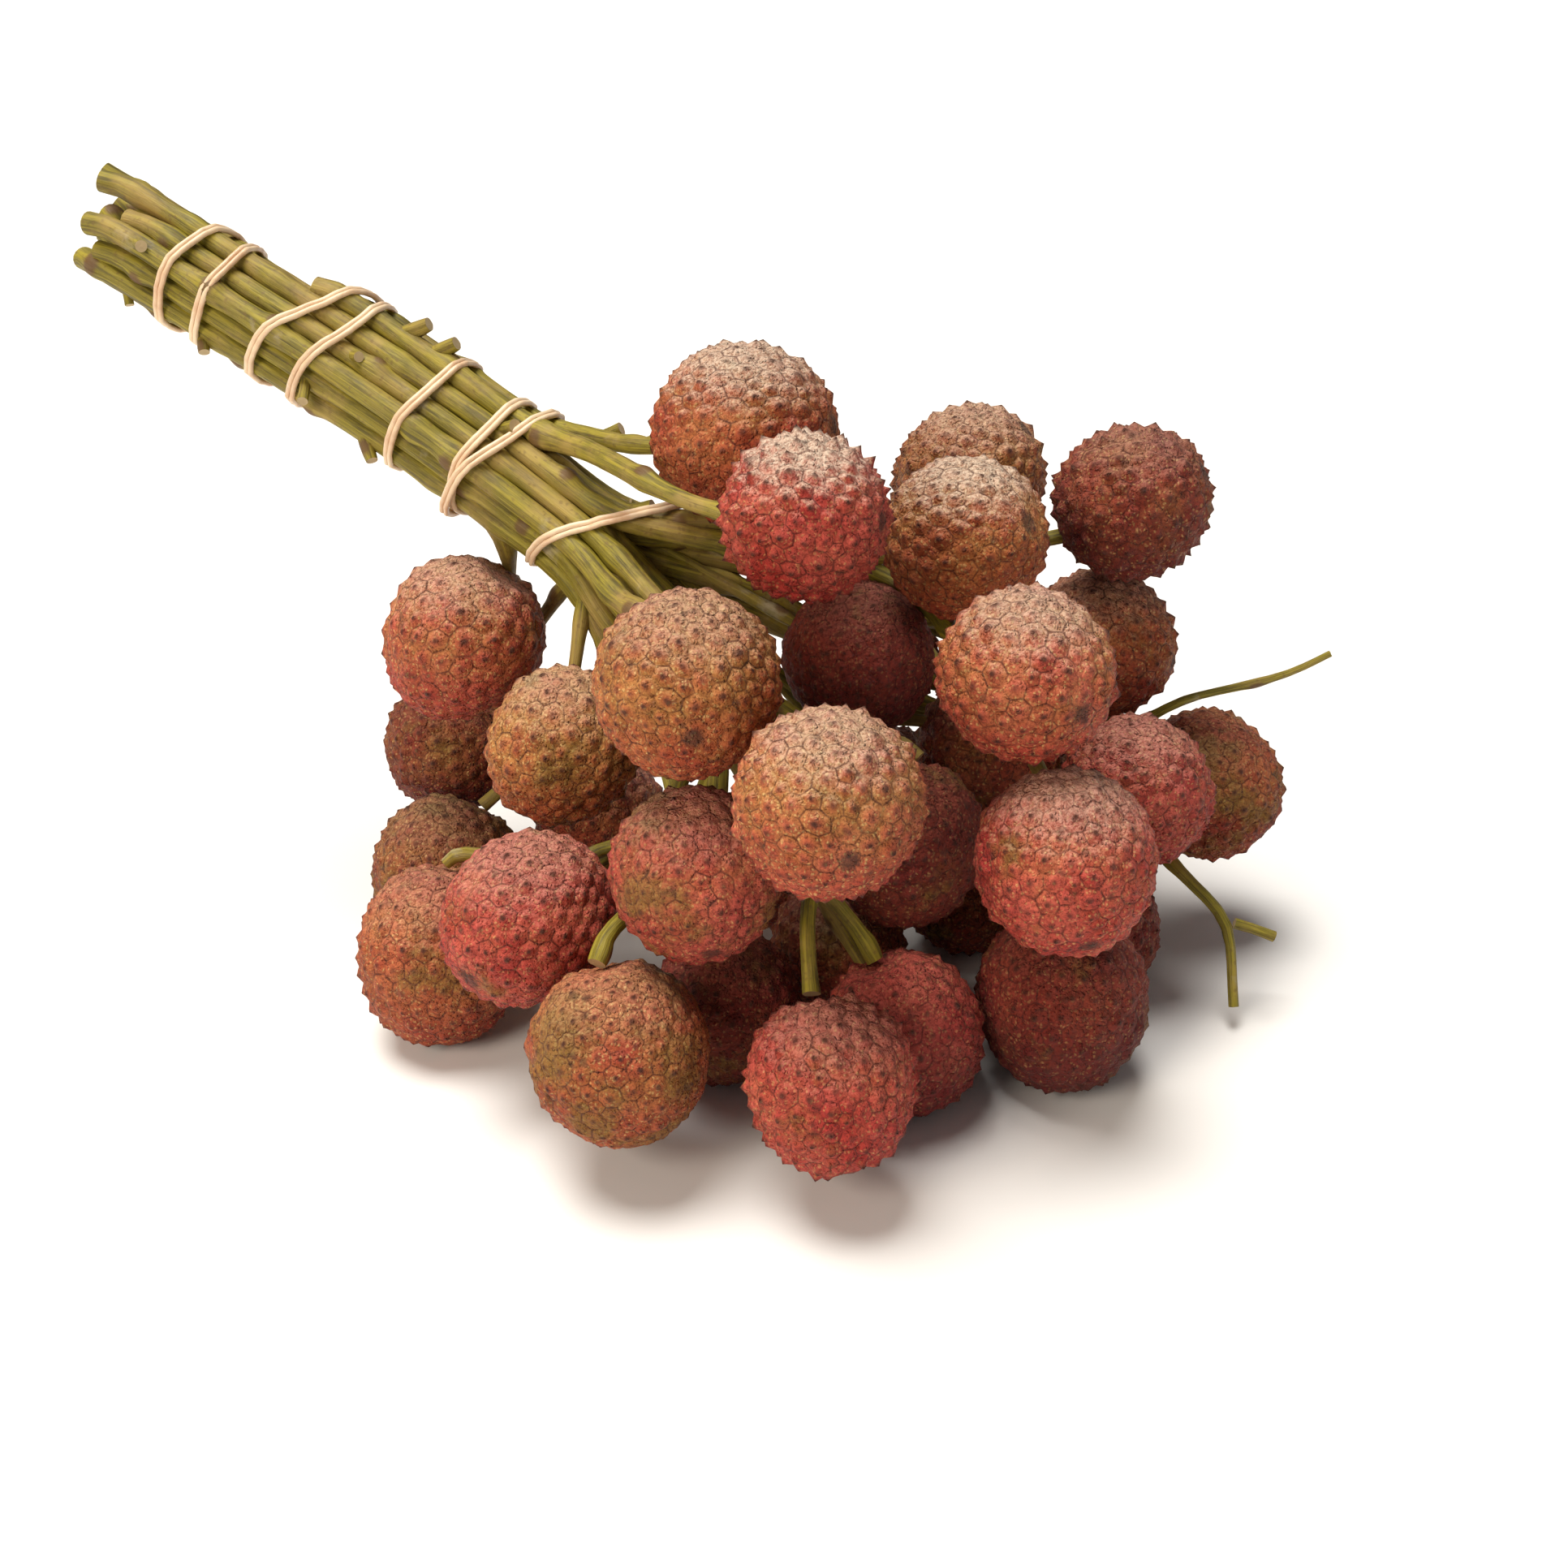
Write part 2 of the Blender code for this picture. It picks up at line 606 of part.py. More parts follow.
def band_object(row, strands, material):
    """A rubber band that hugs the sheaf, once or twice round, as a flat closed ring."""
    name, middle, spread, turns, tilt, crossing = row
    steps = 40 * turns
    spots, outs, ways = [], [], []
    clear = BAND_THICK / 2 + GAP + 0.15
    if turns == 2:  # one turn lifts over the other wherever they are closer than their width
        reach = 1.25 * 2 * math.asin(min((BAND_WIDTH + 0.4) / spread, 1.0))
    for step in range(steps):
        run = 2 * math.pi * step / 40
        angle = run + crossing - math.pi
        place = middle + tilt * math.cos(angle - LOW_EDGE)
        lift = 0.0
        if turns == 2:
            place += spread / 2 * math.cos(run / 2)
            lift = (BAND_THICK + 0.7) * math.exp(-(((run - math.pi) / reach) ** 4))
        circles = sections(place, strands)
        size = girth(circles, angle, clear) + lift
        first, second = on_axis(AXIS_FIRST, place), on_axis(AXIS_SECOND, place)
        out = first * math.cos(angle) + second * math.sin(angle)
        spots.append(on_axis(AXIS, place) + out * size)
        outs.append(out)
        ways.append(on_axis(AXIS_WAY, place))
    bm = bmesh.new()
    rings = []
    for step in range(steps):
        along = unit(spots[(step + 1) % steps] - spots[step - 1])
        out = unit(outs[step] - along * (outs[step] @ along))
        wide = np.cross(along, out)
        ring = []
        for side in range(6):
            turn = 2 * math.pi * side / 6
            offset = out * math.sin(turn) * BAND_THICK / 2 / 0.866
            offset = offset + wide * math.cos(turn) * BAND_WIDTH / 2
            ring.append(bm.verts.new((spots[step] + offset) * MM))
        rings.append(ring)
    for step in range(steps):
        a, b = rings[step], rings[(step + 1) % steps]
        for side in range(6):
            after = (side + 1) % 6
            bm.faces.new((a[side], a[after], b[after], b[side]))
    return new_object(name, bm, material)


def sheaf_run(across, end, leave):
    """The straight part of a stalk, tied in the sheaf, from its cut end to where it leaves."""
    straight = []
    for place in np.linspace(end, leave, int((end - leave) / SHEAF_STEP)):
        ease = SHRINK + (1 - SHRINK) * place / SHEAF
        straight.append(in_sheaf(place, across * ease * SLOT_EASE))
    return straight


def stalk_radius(straight, free, size, end, leave):
    """A stalk's radius at each point: thick in the sheaf, thin at the fruit."""
    taper = np.linspace(end, leave, len(straight) - 1) / SHEAF
    thick = size * (SHRINK + (1 - SHRINK) * taper)
    run = np.linspace(0, 1, len(free))
    thin = np.interp(run, (0, 0.55, 0.9, 1), (size * SHRINK, R_FORK + 0.15, R_TIP, R_TIP + 0.2))
    return np.concatenate([thick, thin])


def main_strand(k, fruit, across, size, end, space):
    """The strand of one stalk, from its cut end to its first fruit."""
    leave = EARLY.get(STALKS[k][0], 0.0)
    straight = sheaf_run(across, end, leave)
    gate = in_sheaf(leave - GATE_DROP, across * (1.6 if leave else 1.25))
    goal = fruit.tip() + fruit.stem * STEM_RUN
    total = space.costs({space.cell(gate): 0.0})
    path, _ = space.descend(total, goal, {space.cell(gate)})
    space.crowd(path[2:])
    free = resample(np.concatenate([[straight[-1], gate], path[1:-1], [goal, fruit.tip()]]), STEP)
    radius = stalk_radius(straight, free, size, end, leave)
    points = np.concatenate([straight[:-1], free])
    return Strand(points, radius, k, len(straight) + 1, 3)


def branch_strand(main, straight_count, fruit, space):
    """A branch that leaves a stalk where the way to its own fruit is shortest."""
    goal = fruit.tip() + fruit.stem * STEM_RUN
    starts = {}
    first, last = straight_count + 9, len(main.points) - 7
    if last <= first:
        first, last = straight_count + 3, len(main.points) - 4
    for spot in range(first, last):
        cost = 0.25 * (last - spot) * STEP
        cell = space.cell(main.points[spot])
        starts[cell] = min(starts.get(cell, 1e9), cost)
    total = space.costs(starts)
    path, cell = space.descend(total, goal, starts)
    space.crowd(path[2:])
    near = np.linalg.norm(main.points[first:last] - space.points[cell], axis=1)
    fork = first + int(np.argmin(near))
    free = resample(np.concatenate([[main.points[fork]], path[1:-1], [goal, fruit.tip()]]), STEP)
    radius = np.interp(np.linspace(0, 1, len(free)), (0, 0.85, 1), (R_BRANCH, R_TIP, R_TIP + 0.15))
    branch = Strand(free, radius, main.owner, 0, 3)
    branch.fork = (main, fork)
    return branch


def stalk_strands(fruits):
    """Finds the way of every stalk from the cut end, through the sheaf, to its fruits."""
    rng = np.random.default_rng(5)
    sizes = R_CUT * rng.uniform(0.9, 1.06, len(STALKS))
    spots = pack_slots(sizes)
    goals = [fruits[row[0] - 1].centre for row in STALKS]
    order = choose_slots(spots, goals)
    lift = -spots @ (math.cos(LOW_EDGE), math.sin(LOW_EDGE))
    short = list(np.argsort(lift)[::-1][: len(SHORT_ENDS)])
    space = Space(fruits)
    strands = []
    for k in sorted(range(len(STALKS)), key=lambda k: -np.linalg.norm(goals[k] - NECK)):
        slot = order[k]
        end = SHORT_ENDS[short.index(slot)] if slot in short else LONGEST_END - rng.uniform(0, 17)
        main = main_strand(k, fruits[STALKS[k][0] - 1], spots[slot], sizes[slot], end, space)
        strands.append(main)
        for number in STALKS[k][1:]:
            strands.append(branch_strand(main, main.held_start - 1, fruits[number - 1], space))
    return strands, space


def twig_strands(strands, fruits, space):
    """The bare twigs, each leaving the stalk that bears a given fruit."""
    found = []
    for number, way_out, arm, thick, thin in TWIGS:
        owner = next(k for k, row in enumerate(STALKS) if number in row)
        main = next(s for s in strands if s.owner == owner)
        first, last = len(main.points) - 22, len(main.points) - 6
        starts = {}
        for spot in range(first, last):
            starts.setdefault(space.cell(main.points[spot]), 0.0)
        goal = np.array(way_out[0], float)
        total = space.costs(starts)
        path, cell = space.descend(total, goal, starts)
        near = np.linalg.norm(main.points[first:last] - space.points[cell], axis=1)
        fork = first + int(np.argmin(near))
        free = resample(np.concatenate([[main.points[fork]], path[1:-1], way_out]), 2.0)
        reach = np.linalg.norm(free - goal, axis=1)
        held = len(free) - int(np.argmin(reach))
        radius = np.linspace(max(thick, 1.2), thin, len(free))
        twig = Strand(free, radius, owner, 0, held)
        twig.fork = (main, fork)
        found.append(twig)
        if arm:
            points = resample(arm, 2.0)
            spot = int(np.argmin(np.linalg.norm(free - points[0], axis=1)))
            points = np.concatenate([[free[spot]], points[1:]])
            side = Strand(points, np.linspace(radius[spot] * 0.9, thin, len(points)), owner, 0, len(points))
            side.fork = (twig, spot)
            found.append(side)
    return found


def build_stalks(strands, bark):
    """One solid for each stalk, its branches united with it."""
    made = {}
    for k, strand in enumerate(strands):
        points, radius = simplified(strand.points, strand.radius, 15.0, 0.22)
        name = "stalk_%02d" % (strand.owner + 1)
        if strand.fork is None:
            made[strand.owner] = tube(name, points, radius, STALK_SIDES, bark)
        else:
            made[(strand.owner, k)] = tube(name + "_branch", points, radius, STALK_SIDES, bark)
    for key, obj in list(made.items()):
        if isinstance(key, tuple):
            join_branch(made[key[0]], obj)


def centre_on_origin():
    """Moves everything so that the middle of the underside is at the origin."""
    corners = []
    for obj in bpy.context.scene.collection.objects:
        for vert in obj.data.vertices:
            corners.append(np.array(vert.co) + np.array(obj.location))
    corners = np.array(corners)
    shift = -(corners.max(axis=0) + corners.min(axis=0)) / 2
    shift[2] = -corners[:, 2].min()
    for obj in bpy.context.scene.collection.objects:
        obj.location = np.array(obj.location) + shift


def main():
    for obj in list(bpy.data.objects):
        bpy.data.objects.remove(obj)
    fruits = [Fruit(*row) for row in FRUITS]
    settle(fruits)
    free_stems(fruits)
    settle(fruits)
    strands, space = stalk_strands(fruits)
    strands += twig_strands(strands, fruits, space)
    loosen(strands, fruits)
    rosy = bare("skin_rosy", (0.46, 0.09, 0.07), 0.6)
    tawny = bare("skin_tawny", (0.42, 0.17, 0.07), 0.65)
    deep = bare("skin_deep", (0.27, 0.03, 0.03), 0.55)
    skins = (rosy, tawny, deep)
    for fruit, tone in zip(fruits, SKIN_TONES):
        fruit_object(fruit, skins[tone])
    build_stalks(strands, bare("stalk_bark", (0.25, 0.2, 0.05), 0.7))
    rubber = bare("band_rubber", (0.72, 0.5, 0.34), 0.35)
    for row in BANDS:
        inside = [s for s in strands if row[0] != "band_neck" or STALKS[s.owner][0] not in EARLY]
        band_object(row, inside, rubber)
    centre_on_origin()


main()
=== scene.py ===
"""A bunch of fresh lychees: knobbly skins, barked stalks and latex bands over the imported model."""

import heapq
import json
import math
import random

import bpy
import numpy as np
from mathutils import Matrix, Vector


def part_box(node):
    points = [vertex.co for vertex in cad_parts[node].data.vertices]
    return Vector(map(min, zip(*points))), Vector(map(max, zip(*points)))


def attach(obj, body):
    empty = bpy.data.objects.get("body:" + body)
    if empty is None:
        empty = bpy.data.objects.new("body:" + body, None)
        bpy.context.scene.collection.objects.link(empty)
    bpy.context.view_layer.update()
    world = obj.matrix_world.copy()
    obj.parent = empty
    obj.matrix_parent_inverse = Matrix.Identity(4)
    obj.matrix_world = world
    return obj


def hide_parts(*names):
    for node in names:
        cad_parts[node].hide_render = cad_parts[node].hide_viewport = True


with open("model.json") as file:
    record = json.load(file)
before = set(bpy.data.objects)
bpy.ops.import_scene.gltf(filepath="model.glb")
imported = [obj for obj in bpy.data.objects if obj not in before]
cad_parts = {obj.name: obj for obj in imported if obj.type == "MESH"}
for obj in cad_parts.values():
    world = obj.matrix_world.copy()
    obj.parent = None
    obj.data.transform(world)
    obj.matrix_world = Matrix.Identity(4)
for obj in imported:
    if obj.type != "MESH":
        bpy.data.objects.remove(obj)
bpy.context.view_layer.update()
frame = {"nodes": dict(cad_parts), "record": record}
MM = 0.001

# Camera: above the front of the bunch, turned up this many degrees from looking straight down.
CAMERA_PLACE = (0.01998, -0.40486, 0.2816)
CAMERA_TILT = 60.0
CAMERA_LENS = 50.0
CAMERA_SENSOR = 36.0

# Skin of each fruit: spacing and height of its tubercles in mm and how sharp they are,
# then the shares of pale dust with painted highlight on its top, gold, olive and dark red.
# The dark red share is also painted shade, largest on the fruit that lie in the shade of the bunch.
#          spacing height sharp  dust  gold  olive dark
SKINS = {
    1: (3.3, 0.85, 0.45, 0.85, 0.55, 0.25, 0.10),
    2: (3.2, 1.25, 0.95, 1.00, 0.30, 0.12, 0.00),
    3: (3.4, 0.95, 0.60, 0.55, 0.70, 0.20, 0.45),
    4: (3.3, 0.80, 0.50, 0.90, 0.75, 0.20, 0.00),
    5: (3.4, 1.15, 0.90, 0.20, 0.40, 0.15, 0.60),
    6: (3.2, 0.85, 0.60, 0.35, 0.55, 0.25, 0.30),
    7: (3.5, 1.05, 0.80, 0.60, 0.70, 0.15, 0.05),
    8: (3.0, 0.45, 0.30, 0.10, 0.08, 0.20, 0.55),
    9: (3.2, 0.75, 0.35, 0.40, 0.80, 0.30, 0.05),
    10: (3.3, 0.80, 0.35, 0.35, 0.90, 0.40, 0.05),
    11: (3.6, 0.70, 0.45, 0.45, 0.70, 0.20, 0.05),
    12: (3.1, 0.70, 0.50, 0.10, 0.50, 0.35, 0.45),
    13: (3.1, 0.65, 0.45, 0.15, 0.60, 0.55, 0.30),
    14: (3.4, 0.80, 0.50, 0.20, 0.55, 0.35, 0.20),
    15: (3.3, 0.70, 0.40, 0.30, 0.35, 0.20, 0.00),
    16: (3.2, 0.75, 0.50, 0.25, 0.45, 0.40, 0.15),
    17: (3.4, 1.10, 0.80, 0.55, 0.85, 0.15, 0.00),
    18: (3.2, 0.80, 0.60, 0.05, 0.25, 0.20, 0.50),
    19: (3.3, 0.75, 0.45, 0.50, 0.45, 0.22, 0.00),
    20: (3.1, 0.85, 0.65, 0.30, 0.35, 0.10, 0.20),
    21: (3.3, 0.75, 0.55, 0.10, 0.50, 0.45, 0.35),
    22: (3.3, 0.70, 0.45, 0.05, 0.15, 0.30, 0.70),
    23: (3.2, 0.70, 0.45, 0.05, 0.25, 0.25, 0.50),
    24: (3.2, 0.80, 0.65, 0.05, 0.20, 0.20, 0.65),
    25: (3.3, 1.05, 0.70, 0.25, 0.35, 0.15, 0.00),
    26: (2.9, 0.50, 0.35, 0.15, 0.65, 0.50, 0.10),
    27: (3.2, 0.70, 0.50, 0.05, 0.20, 0.25, 0.70),
}
# Fruit 28 and on, deep in the bunch or behind it.
HIDDEN_SKIN = (3.3, 0.80, 0.50, 0.25, 0.45, 0.30, 0.20)
SKIN_MARKS = ("dust", "gold", "olive", "dark")
# How much wider a fruit is towards its stem. One is heart-shaped.
SHOULDERS = {11: 0.07}
USUAL_SHOULDER = 0.015
# Relief of the skin in mm: how far it stands over the solid, the fruit's own unevenness,
# the crumpled surface of the tubercles, and the hollow round the stem.
SKIN_RISE = 0.25
SWELL = 1.6
CRUMPLE = 0.75
STEM_HOLLOW = 1.6
# Full height of a tubercle over the height that its fruit is given.
HEIGHT_GAIN = 1.2
# A blunt and a sharp tubercle: share of the height that its flat shield has, and how steep its tip is.
BLUNT = (0.42, 1.6)
SHARP = (0.10, 1.9)
# How far from a fruit's centre its stem is looked for, in metres.
STEM_REACH = 0.018
# Radians from one fruit, or one loose stalk, to the next, so that no two show the same side.
TURN_STEP = 2.4
SKIN_SEED_STEP = 7

# Colours of the three kinds of skin: most of it, its bright patches and its dark tubercles.
SKIN_COLOURS = {
    "skin_rosy": ((0.52, 0.040, 0.030), (0.70, 0.125, 0.085), (0.34, 0.012, 0.013)),
    "skin_tawny": ((0.47, 0.052, 0.020), (0.63, 0.145, 0.052), (0.29, 0.018, 0.008)),
    "skin_deep": ((0.29, 0.024, 0.012), (0.42, 0.068, 0.030), (0.16, 0.008, 0.006)),
}
# Dark red of darker skin, also used as painted shade on the undersides and on shaded fruit.
DARK_RED_AND_SHADE = (0.10, 0.006, 0.008)
# Gold of the skin's patches, also painted stronger on the tops as painted highlight.
GOLD = (0.58, 0.32, 0.075)
CREAM_FLECK = (0.80, 0.54, 0.20)
SKIN_OLIVE = (0.24, 0.155, 0.022)
# Pale dust, also used as painted highlight on the tops of the fruit.
PALE_DUST_AND_HIGHLIGHT = (0.86, 0.70, 0.54)
TIP_BROWN = (0.085, 0.020, 0.008)
# Dark red painted into the furrows as painted shade.
FURROW_SHADE_RED = (0.085, 0.012, 0.007)
SPOT_BROWN = (0.055, 0.022, 0.012)
END_SCAR = (0.050, 0.022, 0.012)
FIBRE_SHADE = (0.42, 0.27, 0.22)

# Colours of the bark, its marks and the cut wood, and of the bands.
BARK_DARK = (0.075, 0.058, 0.005)
BARK_GREEN = (0.33, 0.265, 0.020)
BARK_TAN = (0.42, 0.27, 0.085)
BARK_GREY = (0.42, 0.36, 0.26)
BARK_PORE = (0.15, 0.085, 0.02)
BARK_CRACK = (0.07, 0.045, 0.008)
LEAF_SCAR = (0.12, 0.055, 0.018)
CUT_WOOD = (0.50, 0.38, 0.20)
LATEX_CREAM = (0.80, 0.62, 0.42)
LATEX_TAN = (0.62, 0.38, 0.22)

# The tied stalks run this way from the fruit to their cut ends.
SHEAF_WAY = (-0.83, 0.45, 0.33)
# A tube's solid is cut across into slices this long along its surface. A stalk's slice
# has at least this many corners.
SLICE = 0.004
SMALLEST_SLICE = 5
# A band's slices over a stalk's.
BAND_SLICE = 0.8
# A round stalk's radius over the radius read from its six-sided solid.
ROUNDNESS = 1.13
# Radius of a latex strand, and how far it lies from the middle of its band in such radii.
STRAND = 0.00062
STRAND_APART = 0.93
# Cut side shoots, in metres: how far below the cut ends they still show, the slab of sheaf whose middle
# is taken, how far from it they stand, and their shortest and longest length and radius.
STUB_REACH = 0.165
STUB_SLAB = 0.006
STUB_OUTSIDE = 0.006
STUB_LENGTH = (0.0045, 0.0085)
STUB_RADIUS = (0.0010, 0.0015)
STUB_SEED = 11
BARK_SEED_STEP = 7.3
# Loose stalks with no CAD piece of their own: (fruit that it runs to, its radius at the neck band in mm).
LOOSE_STALKS = (
    (28, 1.8), (29, 1.8), (30, 1.7), (31, 1.8), (32, 1.7), (33, 1.8), (34, 1.7), (35, 1.8), (36, 1.7),
    (24, 1.7), (16, 1.8), (12, 1.7), (10, 1.7), (8, 1.6),
)
# They start this far from the middle of the neck band and clear the fruit by this much, in metres.
# Their far end is thinner by the taper.
NECK_SPREAD = 0.007
FRUIT_ROOM = 0.0004
TAPER = 0.75
LOOSE_POINTS = 26
LOOSE_ROUNDS = 90
LOOSE_SMOOTH_ROUNDS = 80
LOOSE_SEED = 90.0
LOOSE_SEED_STEP = 3.1

FLOOR_REACH = 8
FLOOR_DROP = -0.0002
FLOOR_COLOUR = (0.86, 0.855, 0.84, 1)
SKY_COLOUR = (1.0, 0.99, 0.97, 1)
SKY_STRENGTH = 0.16


class Tree:
    """Adds nodes to a node tree. An input is a number, a colour, an object or another node's output."""

    def __init__(self, tree):
        self.tree = tree

    def add(self, kind, *inputs, **named):
        node = self.tree.nodes.new(kind)
        for key in [key for key in named if hasattr(node, key) and key != "inputs"]:
            setattr(node, key, named.pop(key))
        for place, value in enumerate(inputs):
            self.put(node.inputs[place], value)
        for key, value in named.items():
            self.put(node.inputs[key.replace("_", " ")], value)
        return node

    def put(self, socket, value):
        if value is None:
            return
        if isinstance(value, bpy.types.NodeSocket):
            self.tree.links.new(value, socket)
            return
        if socket.type == "RGBA" and len(value) == 3:
            value = (*value, 1.0)
        socket.default_value = value

    def math(self, operation, *values):
        return self.add("ShaderNodeMath", *values, operation=operation).outputs[0]

    def vector(self, operation, *values, scale=None):
        node = self.add("ShaderNodeVectorMath", *values, operation=operation)
        if scale is not None:
            self.put(node.inputs["Scale"], scale)
        return node.outputs["Value" if operation in ("DOT_PRODUCT", "LENGTH") else "Vector"]

    def span(self, value, low, high, to_low=0.0, to_high=1.0):
        """value moved from low..high to to_low..to_high, smoothly, and held there beyond."""
        node = self.add("ShaderNodeMapRange", value, low, high, to_low, to_high)
        node.interpolation_type = "SMOOTHSTEP"
        return node.outputs[0]

    def noise(self, place, scale, detail=2.0, roughness=0.5):
        node = self.add("ShaderNodeTexNoise", Vector=place, Scale=scale, Detail=detail, Roughness=roughness)
        return node.outputs[0]

    def mix(self, share, first, second, blend="MIX"):
        node = self.tree.nodes.new("ShaderNodeMix")
        node.data_type = "RGBA"
        node.blend_type = blend
        self.put(node.inputs[0], share)
        self.put(node.inputs[6], first)
        self.put(node.inputs[7], second)
        return node.outputs[2]


# ---- meshes and modifiers


def geometry_tree(name, inputs):
    """An empty Geometry Nodes tree with named inputs: {name: (socket type, default)}."""
    tree = bpy.data.node_groups.new(name, "GeometryNodeTree")
    tree.interface.new_socket("Geometry", in_out="INPUT", socket_type="NodeSocketGeometry")
    for key, (kind, default) in inputs.items():
        socket = tree.interface.new_socket(key, in_out="INPUT", socket_type=kind)
        if default is not None:
            socket.default_value = default
    tree.interface.new_socket("Geometry", in_out="OUTPUT", socket_type="NodeSocketGeometry")
    group_input = tree.nodes.new("NodeGroupInput")
    group_output = tree.nodes.new("NodeGroupOutput")
    return Tree(tree), group_input.outputs, group_output.inputs[0]


def grown(name, start, tree, **inputs):
    """The plain mesh that a Geometry Nodes tree makes from a start mesh, with these inputs."""
    seed = bpy.data.objects.new(name + "_seed", start)
    bpy.context.scene.collection.objects.link(seed)
    modifier = seed.modifiers.new("nodes", "NODES")
    modifier.node_group = tree
    sockets = {item.name: item.identifier for item in tree.interface.items_tree if item.in_out == "INPUT"}
    for key, value in inputs.items():
        modifier[sockets[key.replace("_", " ")]] = value
    graph = bpy.context.evaluated_depsgraph_get()
    mesh = bpy.data.meshes.new_from_object(seed.evaluated_get(graph), depsgraph=graph)
    seed.modifiers.clear()
    bpy.data.objects.remove(seed)
    mesh.name = name
    return mesh


def piece(name, mesh, slot, *nodes):
    """Puts a finished mesh in the scene as a piece of the bunch, standing for CAD nodes if any are given."""
    made = bpy.data.objects.new(name, mesh)
    bpy.context.scene.collection.objects.link(made)
    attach(made, "root")
    if nodes:
        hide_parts(*nodes)


def named_value(tree, name, kind="FLOAT"):
    return tree.add("GeometryNodeInputNamedAttribute", data_type=kind, Name=name).outputs[0]


def stored(tree, geometry, name, value, domain="POINT"):
    node = tree.add("GeometryNodeStoreNamedAttribute", data_type="FLOAT", domain=domain)
    tree.put(node.inputs["Geometry"], geometry)
    tree.put(node.inputs["Name"], name)
    tree.put(node.inputs["Value"], value)
    return node.outputs[0]


# ---- fruit


def tubercle(t, tip, shield, edge, power):
    """The height over a tubercle, 0 at its foot and 1 at its tip: a flat shield with a point on it."""
    point = t.math("MULTIPLY", t.math("POWER", tip, power), 1 - edge)
    return t.math("ADD", t.math("MULTIPLY", shield, edge), point)


